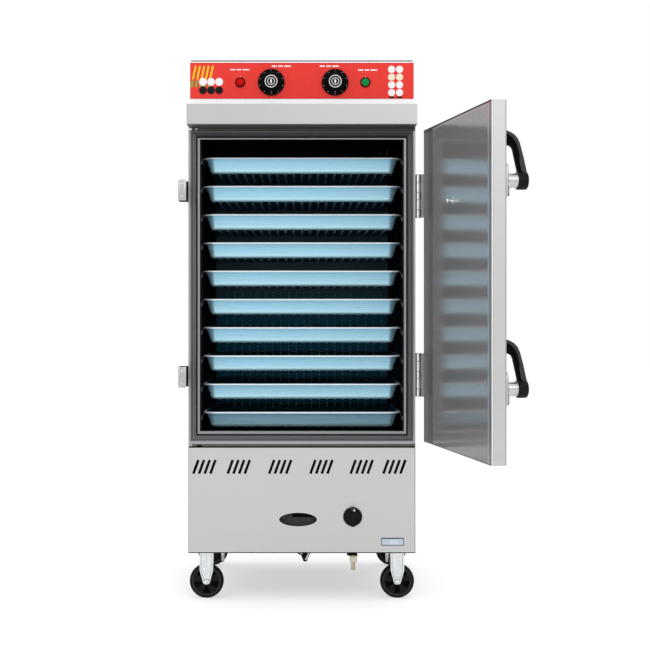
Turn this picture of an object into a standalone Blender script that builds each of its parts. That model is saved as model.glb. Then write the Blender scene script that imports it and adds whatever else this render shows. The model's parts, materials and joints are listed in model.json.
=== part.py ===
"""Rice steamer cabinet: a ten-tray steam chest on casters, shown with its door open.

X runs to the right, Y to the back and Z up, in metres. The origin is on the floor, under the
middle of the cabinet, and the front looks along -Y. The door and what it carries are modelled
in the closed place, and then swing out together about the hinge pins.
"""

import math

import bmesh
import bpy
from mathutils import Matrix, Vector

# Sheet metal and fits
SKIN = 0.0015  # walls, roof and pans
GAP = 0.0003  # between two pieces that touch
BORE_CLEARANCE = 0.0003  # round a shaft in its hole, on the radius
OVERRUN = 0.002  # how far a cutter passes its cut

# Cabinet body
CABINET_WIDTH = 0.680
CABINET_DEPTH = 0.650
FLOOR_PAN_Z = 0.165  # the pan's underside, where the casters bolt on
PAN_RECESS = 0.0223  # the walls hang this far below the pan
PAN_SHEET = 0.002
PAN_FLANGE = 0.015
BASE_PANEL_HEIGHT = 0.3153
PANEL_RETURN = 0.015
PANEL_SEAM = 0.0038
FRAME_HEIGHT = 0.9537
HOOD_SEAM = 0.003
HOOD_HEIGHT = 0.0601
HOOD_REACH = 0.068

# Doorway and chamber
FRAME_FACE = 0.0345  # width of the frame beside the doorway
SILL_HEIGHT = 0.0462
HEADER_HEIGHT = 0.0355
THROAT_DEPTH = 0.012
GASKET_REVEAL = 0.006  # frame that shows inside the gasket
GASKET_THICKNESS = 0.0079
CEILING_RISE = 0.052  # the chamber's ceiling over the doorway's top
CHAMBER_BACK_MARGIN = 0.090  # between the chamber and the back wall
PROBE_INSET = 0.0415  # from the chamber's right wall
PROBE_DROP = 0.030  # from the ceiling
PROBE_RADIUS = 0.022
PROBE_LENGTH = 0.006
PROBE_RIM = 0.005
PROBE_PIN_RADIUS = 0.004

# Water tank, which is the chamber's floor
DECK_DROP = 0.013  # the deck below the doorway's sill
TANK_DEPTH = 0.150
TANK_SIDE_MARGIN = 0.006
TANK_END_MARGIN = 0.016
LEDGE_WIDTH = 0.012
LEDGE_HEIGHT = 0.010

# Heating element
ELEMENT_RADIUS = 0.006
ELEMENT_RISE = 0.030
ELEMENT_PITCH = 0.110
ELEMENT_RUNS = 4
ELEMENT_FRONT_MARGIN = 0.090
ELEMENT_BACK_MARGIN = 0.020
ELEMENT_NUT_RADIUS = 0.010
ELEMENT_NUT_LENGTH = 0.006

# Trays and their runners
TRAY_COUNT = 10
TRAY_LENGTH = 0.400
TRAY_HEIGHT = 0.0475
TRAY_SHEET = 0.0010
TRAY_SIDE_CLEARANCE = 0.0055
TRAY_TOP_CLEARANCE = 0.0499
TRAY_BOTTOM_CLEARANCE = 0.0075
TRAY_SETBACK = 0.0275
TRAY_CORNER_RADIUS = 0.022
TRAY_EDGE_RADIUS = 0.014
TRAY_RIM_WIDTH = 0.010
TRAY_RIM_LIP = 0.004
TRAY_DRAFT = 0.006
RACK_STRIP = 0.003
RACK_STRIP_WIDTH = 0.020
RACK_STRIP_RISE = 0.020
RACK_STRIP_SHARES = (0.12, 0.88)
RUNNER_BEARING = 0.0045
RUNNER_HEIGHT = 0.025
RUNNER_NOSE = 0.004
RUNNER_END_MARGIN = 0.020

# Door
DOOR_THICKNESS = 0.039
DOOR_STANDOFF = 0.0085
DOOR_SIDE_INSET = 0.006
DOOR_BOTTOM_RISE = 0.0157
DOOR_TOP_DROP = 0.0085
DOOR_INNER_THICKNESS = 0.0037
DOOR_OPEN_ANGLE = math.radians(100)

# Hinges
BARREL_RADIUS = 0.0075
BARREL_OFFSET_X = 0.0085  # out from the right wall
BARREL_OFFSET_Y = 0.0055  # behind the front plane
PIN_RADIUS = 0.003
PIN_CLEARANCE = 0.0004
HINGE_LEAF = 0.0025
HINGE_LEAF_REACH = 0.0345
HINGE_WEB_BACK = 0.001
HINGE_HEIGHT = 0.1311
HINGE_HEIGHT_SHARES = (0.22471, 0.78615)  # up the frame, lower and upper
KNUCKLE_SHARES = (0.1876, 0.2288, 0.1632, 0.2326, 0.1878)  # bottom to top

# Latches and keepers
LATCH_INSET = 0.022
LATCH_HEIGHT_SHARES = (0.2082, 0.781)  # up the door, lower and upper
LATCH_BASE_WIDTH = 0.040
LATCH_BASE_HEIGHT = 0.092
LATCH_BASE_THICKNESS = 0.007
POST_RADIUS = 0.019
POST_TOP = 0.036
TONGUE_START = 0.008
TONGUE_THICKNESS = 0.004
TONGUE_LENGTH = 0.040
TONGUE_WIDTH = 0.016
LEVER_HUB_RADIUS = 0.023
LEVER_STANDOFF = 0.061
LEVER_LENGTH = 0.1245
LEVER_WIDTH = 0.024
LEVER_OUTLINE_SHARES = (
    (0.934, 0.064), (0.934, 0.193), (0.754, 0.514), (0.557, 0.819), (0.377, 0.924),
    (0.18, 0.98), (0.057, 1.0), (0.057, 0.715), (0.164, 0.699), (0.213, 0.627),
    (0.475, 0.200), (0.623, 0.172), (0.623, 0.064),
)
KEEPER_SHEET = 0.0025
KEEPER_HEIGHT = 0.0616
KEEPER_REACH = 0.0257  # out from the left wall
KEEPER_FLANGE = 0.033
KEEPER_WEB_BACK = 0.002
KEEPER_LIP_CLEARANCE = 0.001
KEEPER_LIP_WIDTH = 0.024
KEEPER_RISES = (0.001, 0.0216)  # its middle over the latch's axis, lower and upper

# Control box
CONTROL_SETBACK = 0.054
CONTROL_DEPTH = 0.200
CONTROL_HEIGHT = 0.1486
CONTROL_INSET = 0.001
FASCIA_RISE = 0.0325
FASCIA_HEIGHT = 0.1086
CONTROL_RISE = 0.0494  # dials and lamps above the fascia's lower edge
POWER_LAMP_X = -0.187
TEMPERATURE_DIAL_X = -0.093
TIMER_DIAL_X = 0.1006
HEATING_LAMP_X = 0.1925
DIAL_RADIUS = 0.0405
DIAL_SKIRT = 0.008
DIAL_GRIP_RADIUS = 0.028
DIAL_DEPTH = 0.027
DIAL_POINTER_RADIUS = 0.0015
DIAL_POINTER_SHARE = 0.64
DIAL_SHAFT_RADIUS = 0.003
DIAL_SHAFT_REACH = 0.012
SWITCH_SIZE = 0.045
SWITCH_DEPTH = 0.040
LAMP_BEZEL_RADIUS = 0.015
LAMP_LENS_RADIUS = 0.011
LAMP_BEZEL_DEPTH = 0.003
LAMP_LENS_DEPTH = 0.008
LAMP_BODY_RADIUS = 0.007
LAMP_BODY_LENGTH = 0.025
ENTRY_COLLAR_RADIUS = 0.012
ENTRY_BORE_RADIUS = 0.008
ENTRY_COLLAR_LENGTH = 0.008
ENTRY_X = 0.250
ENTRY_RISE = 0.040

# Base panel openings
VENT_X_SHARES = (-0.8588, -0.5559, -0.1912, 0.1721, 0.5265, 0.8147)  # of the half width
VENT_Z_DROP = 0.057  # below the panel's top
VENT_SLOTS = 4
VENT_SLOT_PITCH = 0.017
VENT_SLOT_WIDTH = 0.008
VENT_SLOT_HEIGHT = 0.044
VENT_SLANT = math.radians(20)
SIGHT_HOLE_X = -0.0115
SIGHT_HOLE_RISE = 0.1003  # above the panel's lower edge
SIGHT_HOLE_WIDTH = 0.115
SIGHT_HOLE_HEIGHT = 0.041
LABEL_X = 0.2715
LABEL_RISE = 0.0340
LABEL_WIDTH = 0.068
LABEL_HEIGHT = 0.024
LABEL_RADIUS = 0.004
LABEL_POCKET = 0.003
LABEL_BORDER = 0.003

# Gas line
GAS_X = 0.152
GAS_SETBACK = 0.055
KNOB_RISE = 0.1093  # above the panel's lower edge
KNOB_RADIUS = 0.0285
KNOB_SKIRT = 0.010
KNOB_GRIP_LENGTH = 0.061
KNOB_GRIP_WIDTH = 0.015
KNOB_DEPTH = 0.030
KNOB_BORE_DEPTH = 0.014
VALVE_SHAFT_RADIUS = 0.004
VALVE_WIDTH = 0.032
VALVE_HEIGHT = 0.036
VALVE_DEPTH = 0.040
GAS_PIPE_RADIUS = 0.007
INLET_RISER = 0.030  # above the floor pan
INLET_STEM_RADIUS = 0.009
INLET_STEM_LENGTH = 0.0341
INLET_RING_RADIUS = 0.0115
INLET_RING_LENGTH = 0.0052
INLET_HEX_RADIUS = 0.0127
INLET_HEX_LENGTH = 0.0197
INLET_BARB_RADIUS = 0.0066
INLET_BARB_LENGTH = 0.0242
INLET_FLARE = 0.0010
INLET_FLARE_LENGTH = 0.004
MANIFOLD_SETBACK = 0.120
MANIFOLD_RADIUS = 0.010
MANIFOLD_LENGTH = 0.420
BURNER_BAR_RADIUS = 0.012
BURNER_BAR_LENGTH = 0.340
BURNER_BAR_SHARES = (-0.36, -0.12, 0.12, 0.36)
BURNER_FOOT_WIDTH = 0.016
BURNER_FOOT_INSET = 0.005
BURNER_BEAM = 0.010
BURNER_BEAM_WIDTH = 0.024

# Drain
DRAIN_X = 0.013
DRAIN_SETBACK = 0.085
DRAIN_PIPE_RADIUS = 0.010
DRAIN_BORE_RADIUS = 0.006
DRAIN_BODY_RADIUS = 0.014
DRAIN_BODY_LENGTH = 0.043
DRAIN_NOZZLE_RADIUS = 0.016
DRAIN_NOZZLE_LENGTH = 0.018
DRAIN_LEVER_DROP = 0.023  # its axis below the floor pan
DRAIN_STEM_RADIUS = 0.004
DRAIN_LEVER_OFFSET = 0.009
DRAIN_LEVER_WIDTH = 0.012
DRAIN_LEVER_LENGTH = 0.055
DRAIN_LEVER_THICKNESS = 0.008

# Casters
WHEEL_RADIUS = 0.0515
WHEEL_WIDTH = 0.030
WHEEL_RIM_SHARE = 0.92
WHEEL_HUB_SHARE = 0.30
WHEEL_DISH = 0.006
WHEEL_TREAD_ROUND = 0.003
AXLE_RADIUS = 0.005
AXLE_HEAD_RADIUS = 0.0068
AXLE_HEAD_LENGTH = 0.004
CASTER_PLATE = 0.003
CASTER_PLATE_LENGTH = 0.070
CASTER_PLATE_WIDTH = 0.060
FORK_SHEET = 0.003
FORK_CLEARANCE = 0.002  # beside the wheel
FORK_WIDTH = 0.0405
FORK_TIP_RADIUS = 0.0087
FORK_STRAIGHT = 0.078  # below the floor pan
FRONT_CASTER_INSET = 0.052
FRONT_CASTER_SETBACK = 0.050
REAR_CASTER_INSET = 0.070
REAR_CASTER_SETIN = 0.050  # from the back wall
TRAIL = 0.033
RACE_RADIUS = 0.024
RACE_HEIGHT = 0.008
CROWN_THICKNESS = 0.005
KING_PIN_RADIUS = 0.005
KING_PIN_HEAD_RADIUS = 0.009
KING_PIN_HEAD = 0.004

# Round shapes
ROUND_SIDES = 20
SMALL_SIDES = 12
CORNER_STEPS = 3
SHARP_ANGLE = math.radians(35)

# Places that follow from those sizes
HALF_WIDTH = CABINET_WIDTH / 2
FRONT_Y = -CABINET_DEPTH / 2
BACK_Y = CABINET_DEPTH / 2
INNER_HALF = HALF_WIDTH - SKIN - GAP
INNER_FRONT_Y = FRONT_Y + SKIN + GAP
INNER_BACK_Y = BACK_Y - SKIN - GAP
BODY_BOTTOM_Z = FLOOR_PAN_Z - PAN_RECESS
BASE_PANEL_TOP_Z = BODY_BOTTOM_Z + BASE_PANEL_HEIGHT
FRAME_BOTTOM_Z = BASE_PANEL_TOP_Z + PANEL_SEAM
FRAME_TOP_Z = FRAME_BOTTOM_Z + FRAME_HEIGHT
HOOD_BOTTOM_Z = FRAME_TOP_Z + HOOD_SEAM
ROOF_Z = HOOD_BOTTOM_Z + HOOD_HEIGHT
SHELL_TOP_Z = ROOF_Z - SKIN - GAP
DOORWAY_HALF = HALF_WIDTH - FRAME_FACE
DOORWAY_BOTTOM_Z = FRAME_BOTTOM_Z + SILL_HEIGHT
DOORWAY_TOP_Z = FRAME_TOP_Z - HEADER_HEIGHT
CEILING_Z = DOORWAY_TOP_Z + CEILING_RISE
CHAMBER_BACK_Y = BACK_Y - CHAMBER_BACK_MARGIN
LINER_FRONT_Y = FRONT_Y + THROAT_DEPTH + GAP
DECK_Z = DOORWAY_BOTTOM_Z - DECK_DROP
TANK_BOTTOM_Z = DECK_Z - TANK_DEPTH
TANK_HALF = DOORWAY_HALF - TANK_SIDE_MARGIN
TANK_FRONT_Y = LINER_FRONT_Y + TANK_END_MARGIN
TANK_BACK_Y = CHAMBER_BACK_Y - TANK_END_MARGIN
TRAY_HALF = DOORWAY_HALF - TRAY_SIDE_CLEARANCE
TRAY_FRONT_Y = FRONT_Y + TRAY_SETBACK
TRAY_TOP_Z = DOORWAY_TOP_Z - TRAY_TOP_CLEARANCE
TRAY_LOWEST_Z = DOORWAY_BOTTOM_Z + TRAY_BOTTOM_CLEARANCE + TRAY_HEIGHT
TRAY_PITCH = (TRAY_TOP_Z - TRAY_LOWEST_Z) / (TRAY_COUNT - 1)
DOOR_HALF = HALF_WIDTH - DOOR_SIDE_INSET
DOOR_INNER_Y = FRONT_Y - DOOR_STANDOFF
DOOR_OUTER_Y = DOOR_INNER_Y - DOOR_THICKNESS
DOOR_BOTTOM_Z = FRAME_BOTTOM_Z + DOOR_BOTTOM_RISE
DOOR_TOP_Z = FRAME_TOP_Z - DOOR_TOP_DROP
DOOR_HEIGHT = DOOR_TOP_Z - DOOR_BOTTOM_Z
DOOR_SHELL_BACK_Y = DOOR_INNER_Y - DOOR_INNER_THICKNESS - GAP
BARREL_X = HALF_WIDTH + BARREL_OFFSET_X
BARREL_Y = FRONT_Y + BARREL_OFFSET_Y
LATCH_X = LATCH_INSET - DOOR_HALF
CONTROL_FRONT_Y = FRONT_Y + CONTROL_SETBACK
CONTROL_WALL_Y = CONTROL_FRONT_Y + SKIN + GAP
CONTROL_BACK_Y = CONTROL_FRONT_Y + CONTROL_DEPTH
CONTROL_HALF = HALF_WIDTH - CONTROL_INSET
CONTROL_TOP_Z = ROOF_Z + CONTROL_HEIGHT + GAP
FASCIA_BOTTOM_Z = ROOF_Z + FASCIA_RISE
CONTROL_Z = FASCIA_BOTTOM_Z + CONTROL_RISE
GAS_Y = FRONT_Y + GAS_SETBACK
KNOB_Z = BODY_BOTTOM_Z + KNOB_RISE
PAN_TOP_Z = FLOOR_PAN_Z + PAN_SHEET
MANIFOLD_Y = FRONT_Y + MANIFOLD_SETBACK
DRAIN_Y = FRONT_Y + DRAIN_SETBACK
LEVELS = ("lower", "upper")
SIDES = (("left", -1), ("right", 1))

# Finishes: colour, roughness and how metallic
FINISHES = {
    "stainless": ((0.56, 0.56, 0.55), 0.32, 1.0),
    "dark stainless": ((0.30, 0.30, 0.30), 0.40, 1.0),
    "zinc": ((0.66, 0.69, 0.70), 0.28, 1.0),
    "brass": ((0.70, 0.55, 0.30), 0.30, 1.0),
    "tray blue": ((0.28, 0.53, 0.68), 0.35, 0.0),
    "fascia red": ((0.84, 0.05, 0.045), 0.35, 0.0),
    "lamp red": ((0.58, 0.0, 0.01), 0.15, 0.0),
    "lamp green": ((0.0, 0.24, 0.05), 0.15, 0.0),
    "black plastic": ((0.02, 0.02, 0.02), 0.35, 0.0),
    "gasket rubber": ((0.10, 0.095, 0.10), 0.55, 0.0),
    "tyre": ((0.02, 0.02, 0.022), 0.60, 0.0),
    "mineral wool": ((0.60, 0.55, 0.40), 0.95, 0.0),
}


def new_collection(name):
    collection = bpy.data.collections.new(name)
    bpy.context.scene.collection.children.link(collection)
    return collection


for old in list(bpy.data.objects):
    bpy.data.objects.remove(old)
PARTS = new_collection("rice_steamer_cabinet")
CUTTERS = new_collection("cutters")
FACINGS = {
    "up": (0, 0, 0),
    "front": (math.radians(90), 0, 0),
    "right": (math.radians(90), 0, math.radians(90)),
}


# Shapes
def place_mesh(name, bm, place=(0, 0, 0), facing="up"):
    """A named object from a bmesh, set at its place."""
    bmesh.ops.recalc_face_normals(bm, faces=bm.faces)
    mesh = bpy.data.meshes.new(name)
    bm.to_mesh(mesh)
    bm.free()
    obj = bpy.data.objects.new(name, mesh)
    obj.location = place
    obj.rotation_euler = FACINGS[facing]
    PARTS.objects.link(obj)
    return obj


def smooth(obj):
    obj.data.shade_smooth()
    obj.data.set_sharp_from_angle(angle=SHARP_ANGLE)
    return obj


def box(name, low, high):
    """A box between two corners."""
    low, high = Vector(low), Vector(high)
    bm = bmesh.new()
    bmesh.ops.create_cube(bm, size=1, matrix=Matrix.Diagonal((*(high - low), 1)))
    return place_mesh(name, bm, (low + high) / 2)


def rod(name, start, end, radius, end_radius=None, sides=ROUND_SIDES):
    """A cylinder or cone from one point to another."""
    start, end = Vector(start), Vector(end)
    axis = end - start
    bm = bmesh.new()
    bmesh.ops.create_cone(
        bm,
        cap_ends=True,
        segments=sides,
        radius1=radius,
        radius2=radius if end_radius is None else end_radius,
        depth=axis.length,
        matrix=axis.to_track_quat("Z", "Y").to_matrix().to_4x4(),
    )
    return smooth(place_mesh(name, bm, (start + end) / 2))


def curve_mesh(name, curve, place, facing):
    """A mesh object from a curve, with its loose caps welded on."""
    drawn = bpy.data.objects.new(name, curve)
    PARTS.objects.link(drawn)
    graph = bpy.context.evaluated_depsgraph_get()
    mesh = bpy.data.meshes.new_from_object(drawn.evaluated_get(graph))
    bm = bmesh.new()
    bm.from_mesh(mesh)
    bmesh.ops.remove_doubles(bm, verts=bm.verts, dist=SKIN / 1000)
    bpy.data.objects.remove(drawn)
    bpy.data.meshes.remove(mesh)
    return smooth(place_mesh(name, bm, place, facing))


def poly_curve(name, points, closed):
    curve = bpy.data.curves.new(name, "CURVE")
    spline = curve.splines.new("POLY")
    spline.points.add(len(points) - 1)
    for target, point in zip(spline.points, points):
        target.co = (*point, 1)
    spline.use_cyclic_u = closed
    return curve


def slab(name, outline, thickness, place, facing="up"):
    """A flat plate of a drawn outline, with its middle plane at the place."""
    curve = poly_curve(name, [(x, y, 0) for x, y in outline], True)
    curve.dimensions = "2D"
    curve.fill_mode = "BOTH"
    curve.extrude = thickness / 2
    return curve_mesh(name, curve, place, facing)


def tube(name, points, radius):
    """A round bar along a line of points."""
    curve = poly_curve(name, points, False)
    curve.dimensions = "3D"
    curve.bevel_depth = radius
    curve.bevel_resolution = 2
    curve.use_fill_caps = True
    return curve_mesh(name, curve, (0, 0, 0), "up")


def turned(name, profile, place, facing="front", sides=ROUND_SIDES):
    """A turned piece; the profile gives radius and height, outer side top to bottom."""
    bm = bmesh.new()
    points = [bm.verts.new((radius, 0, height)) for radius, height in profile]
    for first, second in zip(points, points[1:]):
        bm.edges.new((first, second))
    obj = place_mesh(name, bm, place, facing)
    screw = obj.modifiers.new("turn", "SCREW")
    screw.steps = sides
    screw.render_steps = sides
    screw.use_merge_vertices = True
    screw.merge_threshold = SKIN / 1000
    screw.use_smooth_shade = True
    return obj


def arc(centre, radius, start, end, steps):
    """Points along part of a circle, with its angles in degrees."""
    turns = [math.radians(start + (end - start) * i / steps) for i in range(steps + 1)]
    return [(centre[0] + radius * math.cos(t), centre[1] + radius * math.sin(t)) for t in turns]


def rounded_rectangle(width, height, radius, steps=CORNER_STEPS):
    x, y = width / 2 - radius, height / 2 - radius
    corners = (((x, y), 0), ((-x, y), 90), ((-x, -y), 180), ((x, -y), 270))
    return [p for c, start in corners for p in arc(c, radius, start, start + 90, steps)]


def capsule(width, height):
    """An upright plate with half-round ends."""
    radius = width / 2
    reach = height / 2 - radius
    steps = 2 * CORNER_STEPS
    return arc((0, reach), radius, 0, 180, steps) + arc((0, -reach), radius, 180, 360, steps)


def ellipse(width, height, steps):
    return [(x * width / 2, y * height / 2) for x, y in arc((0, 0), 1, 0, 360, steps)[:-1]]


# Joining, cutting and mounting
def shape_with(obj, operation, tools):
    for tool in tools:
        PARTS.objects.unlink(tool)
        CUTTERS.objects.link(tool)
        tool.hide_render = True
        tool.display_type = "WIRE"
        modifier = obj.modifiers.new(operation.lower(), "BOOLEAN")
        modifier.operation = operation
        modifier.solver = "EXACT"
        modifier.object = tool
    return obj


def cut(obj, *tools):
    return shape_with(obj, "DIFFERENCE", tools)


def join(obj, *tools):
    return shape_with(obj, "UNION", tools)


def pivot(name, place, carrier=None):
    """An empty on a joint's axis, at its place with the door closed."""
    empty = bpy.data.objects.new(name, None)
    PARTS.objects.link(empty)
    empty.location = place
    empty["place"] = place
    if carrier:
        ride(empty, carrier)
    return empty


def ride(obj, carrier):
    """Parents a piece, and every tool that shapes it, to a pivot."""
    obj.parent = carrier
    obj.matrix_parent_inverse = Matrix.Translation(-Vector(carrier["place"]))
    for modifier in obj.modifiers:
        if modifier.type == "BOOLEAN":
            ride(modifier.object, carrier)


def finish(obj, look, carrier=None):
    """Gives a piece its own material and the pivot that it moves with."""
    colour, roughness, metallic = FINISHES[look]
    material = bpy.data.materials.new(obj.name)
    material.use_nodes = True
    shader = material.node_tree.nodes["Principled BSDF"]
    shader.inputs["Base Color"].default_value = (*colour, 1)
    shader.inputs["Roughness"].default_value = roughness
    shader.inputs["Metallic"].default_value = metallic
    material.diffuse_color = (*colour, 1)
    obj.data.materials.clear()
    obj.data.materials.append(material)
    if carrier:
        ride(obj, carrier)
    return obj


# Cabinet body
def build_outer_shell():
    shell = box(
        "outer_shell",
        (-HALF_WIDTH, INNER_FRONT_Y, BODY_BOTTOM_Z),
        (HALF_WIDTH, BACK_Y, SHELL_TOP_Z),
    )
    cut(shell, box(
        "shell_hollow",
        (SKIN - HALF_WIDTH, INNER_FRONT_Y - OVERRUN, BODY_BOTTOM_Z - OVERRUN),
        (HALF_WIDTH - SKIN, BACK_Y - SKIN, SHELL_TOP_Z + OVERRUN),
    ))
    ledge_top = DECK_Z - SKIN - GAP
    for side, sign in SIDES:
        outer = sign * (HALF_WIDTH - SKIN / 2)
        inner = sign * (HALF_WIDTH - SKIN - LEDGE_WIDTH)
        join(shell, box(
            f"deck_ledge_{side}",
            (min(outer, inner), FRONT_Y + PANEL_RETURN, ledge_top - LEDGE_HEIGHT),
            (max(outer, inner), BACK_Y - PANEL_RETURN, ledge_top),
        ))
    finish(shell, "stainless")


def build_base_pan():
    front = FRONT_Y + PANEL_RETURN + GAP
    pan = box(
        "base_pan",
        (-INNER_HALF, front, FLOOR_PAN_Z),
        (INNER_HALF, INNER_BACK_Y, FLOOR_PAN_Z + PAN_FLANGE),
    )
    cut(pan, box(
        "pan_hollow",
        (PAN_SHEET - INNER_HALF, front + PAN_SHEET, PAN_TOP_Z),
        (INNER_HALF - PAN_SHEET, INNER_BACK_Y - PAN_SHEET, PAN_TOP_Z + PAN_FLANGE),
    ))
    for name, x, y, radius in (
        ("inlet_hole", GAS_X, GAS_Y, GAS_PIPE_RADIUS),
        ("drain_hole", DRAIN_X, DRAIN_Y, DRAIN_PIPE_RADIUS),
    ):
        cut(pan, rod(
            name,
            (x, y, FLOOR_PAN_Z - OVERRUN),
            (x, y, PAN_TOP_Z + OVERRUN),
            radius + BORE_CLEARANCE,
            sides=SMALL_SIDES,
        ))
    finish(pan, "dark stainless")


def vent_slots():
    """Every slanted slot of the six vents, as one cutter."""
    bm = bmesh.new()
    size = Matrix.Diagonal((VENT_SLOT_WIDTH, SKIN + 2 * OVERRUN, VENT_SLOT_HEIGHT, 1))
    slant = Matrix.Rotation(VENT_SLANT, 4, "Y")
    for share in VENT_X_SHARES:
        for slot in range(VENT_SLOTS):
            x = share * HALF_WIDTH + (slot - (VENT_SLOTS - 1) / 2) * VENT_SLOT_PITCH
            bmesh.ops.create_cube(bm, size=1, matrix=Matrix.Translation((x, 0, 0)) @ slant @ size)
    return place_mesh("vent_slots", bm, (0, FRONT_Y + SKIN / 2, BASE_PANEL_TOP_Z - VENT_Z_DROP))


def build_base_front_panel():
    panel = box(
        "base_front_panel",
        (-HALF_WIDTH, FRONT_Y, BODY_BOTTOM_Z),
        (HALF_WIDTH, FRONT_Y + SKIN, BASE_PANEL_TOP_Z),
    )
    returns = box(
        "panel_returns",
        (-INNER_HALF, FRONT_Y + SKIN / 2, BODY_BOTTOM_Z),
        (INNER_HALF, FRONT_Y + PANEL_RETURN, BASE_PANEL_TOP_Z),
    )
    cut(returns, box(
        "returns_hollow",
        (SKIN - INNER_HALF, FRONT_Y, BODY_BOTTOM_Z + SKIN),
        (INNER_HALF - SKIN, FRONT_Y + PANEL_RETURN + OVERRUN, BASE_PANEL_TOP_Z - SKIN),
    ))
    join(panel, returns)
    label_z = BODY_BOTTOM_Z + LABEL_RISE
    half_width = LABEL_WIDTH / 2 + LABEL_BORDER
    half_height = LABEL_HEIGHT / 2 + LABEL_BORDER
    pocket_back = FRONT_Y + SKIN + LABEL_POCKET
    join(panel, box(
        "label_holder",
        (LABEL_X - half_width, FRONT_Y + SKIN / 2, label_z - half_height),
        (LABEL_X + half_width, pocket_back + SKIN, label_z + half_height),
    ))
    window_front = FRONT_Y - OVERRUN
    cut(panel, slab(
        "label_window",
        rounded_rectangle(LABEL_WIDTH, LABEL_HEIGHT, LABEL_RADIUS),
        pocket_back - window_front,
        (LABEL_X, (pocket_back + window_front) / 2, label_z),
        "front",
    ))
    cut(panel, vent_slots())
    cut(panel, slab(
        "sight_hole",
        ellipse(SIGHT_HOLE_WIDTH, SIGHT_HOLE_HEIGHT, ROUND_SIDES),
        2 * (SKIN + OVERRUN),
        (SIGHT_HOLE_X, FRONT_Y, BODY_BOTTOM_Z + SIGHT_HOLE_RISE),
        "front",
    ))
    cut(panel, rod(
        "valve_hole",
        (GAS_X, FRONT_Y - OVERRUN, KNOB_Z),
        (GAS_X, FRONT_Y + SKIN + OVERRUN, KNOB_Z),
        VALVE_SHAFT_RADIUS + BORE_CLEARANCE,
        sides=SMALL_SIDES,
    ))
    finish(panel, "stainless")


def build_front_frame():
    frame = box(
        "front_frame",
        (-HALF_WIDTH, FRONT_Y, FRAME_BOTTOM_Z),
        (HALF_WIDTH, FRONT_Y + SKIN, SHELL_TOP_Z),
    )
    join(frame, box(
        "throat",
        (-DOORWAY_HALF - SKIN, FRONT_Y + SKIN / 2, DOORWAY_BOTTOM_Z - SKIN),
        (DOORWAY_HALF + SKIN, FRONT_Y + THROAT_DEPTH, DOORWAY_TOP_Z + SKIN),
    ))
    cut(frame, box(
        "doorway",
        (-DOORWAY_HALF, FRONT_Y - OVERRUN, DOORWAY_BOTTOM_Z),
        (DOORWAY_HALF, FRONT_Y + THROAT_DEPTH + OVERRUN, DOORWAY_TOP_Z),
    ))
    finish(frame, "stainless")

    inner_half = DOORWAY_HALF + GASKET_REVEAL
    gasket_back = FRONT_Y - GAP
    gasket = box(
        "frame_gasket",
        (-DOOR_HALF, gasket_back - GASKET_THICKNESS, DOOR_BOTTOM_Z),
        (DOOR_HALF, gasket_back, DOOR_TOP_Z),
    )
    cut(gasket, box(
        "gasket_hole",
        (-inner_half, gasket_back - GASKET_THICKNESS - OVERRUN, DOORWAY_BOTTOM_Z - GASKET_REVEAL),
        (inner_half, gasket_back + OVERRUN, DOORWAY_TOP_Z + GASKET_REVEAL),
    ))
    finish(gasket, "gasket rubber")


def build_top_hood():
    """The roof sheet with its drip hood, a channel that is open towards the frame."""
    hood_front = FRONT_Y - HOOD_REACH
    hood_back = FRONT_Y - GAP
    hood = box("top_hood", (-HALF_WIDTH, hood_front, ROOF_Z - SKIN), (HALF_WIDTH, BACK_Y, ROOF_Z))
    channel = box(
        "hood_channel",
        (-HALF_WIDTH, hood_front, HOOD_BOTTOM_Z),
        (HALF_WIDTH, hood_back, ROOF_Z),
    )
    cut(channel, box(
        "hood_hollow",
        (SKIN - HALF_WIDTH, hood_front + SKIN, HOOD_BOTTOM_Z + SKIN),
        (HALF_WIDTH - SKIN, hood_back + OVERRUN, ROOF_Z - SKIN),
    ))
    join(hood, channel)
    finish(hood, "stainless")


# Steam chamber
def build_chamber():
    outer_half = DOORWAY_HALF + SKIN
    liner = box(
        "chamber_liner",
        (-outer_half, LINER_FRONT_Y, DECK_Z + GAP),
        (outer_half, CHAMBER_BACK_Y + SKIN, CEILING_Z + SKIN),
    )
    cut(
        liner,
        box(
            "chamber_hollow",
            (-DOORWAY_HALF, LINER_FRONT_Y + SKIN, DECK_Z - OVERRUN),
            (DOORWAY_HALF, CHAMBER_BACK_Y, CEILING_Z),
        ),
        box(
            "chamber_doorway",
            (-DOORWAY_HALF, LINER_FRONT_Y - OVERRUN, DOORWAY_BOTTOM_Z),
            (DOORWAY_HALF, LINER_FRONT_Y + SKIN + OVERRUN, DOORWAY_TOP_Z),
        ),
    )
    x = DOORWAY_HALF - PROBE_INSET
    z = CEILING_Z - PROBE_DROP
    wall = CHAMBER_BACK_Y + SKIN / 2
    face = CHAMBER_BACK_Y - PROBE_LENGTH
    boss = rod("probe_boss", (x, wall, z), (x, face, z), PROBE_RADIUS)
    cut(boss, rod(
        "probe_recess",
        (x, CHAMBER_BACK_Y - SKIN, z),
        (x, face - OVERRUN, z),
        PROBE_RADIUS - PROBE_RIM,
    ))
    pin = rod("probe_pin", (x, wall, z), (x, face, z), PROBE_PIN_RADIUS, sides=SMALL_SIDES)
    join(liner, boss, pin)
    finish(liner, "dark stainless")

    insulation = box(
        "chamber_insulation",
        (-INNER_HALF, LINER_FRONT_Y, DECK_Z + GAP),
        (INNER_HALF, INNER_BACK_Y, SHELL_TOP_Z),
    )
    cut(insulation, box(
        "insulation_hollow",
        (-outer_half - GAP, LINER_FRONT_Y - OVERRUN, DECK_Z - OVERRUN),
        (outer_half + GAP, CHAMBER_BACK_Y + SKIN + GAP, CEILING_Z + SKIN + GAP),
    ))
    finish(insulation, "mineral wool")


def element_xs():
    return [(i - (ELEMENT_RUNS - 1) / 2) * ELEMENT_PITCH for i in range(ELEMENT_RUNS)]


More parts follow.
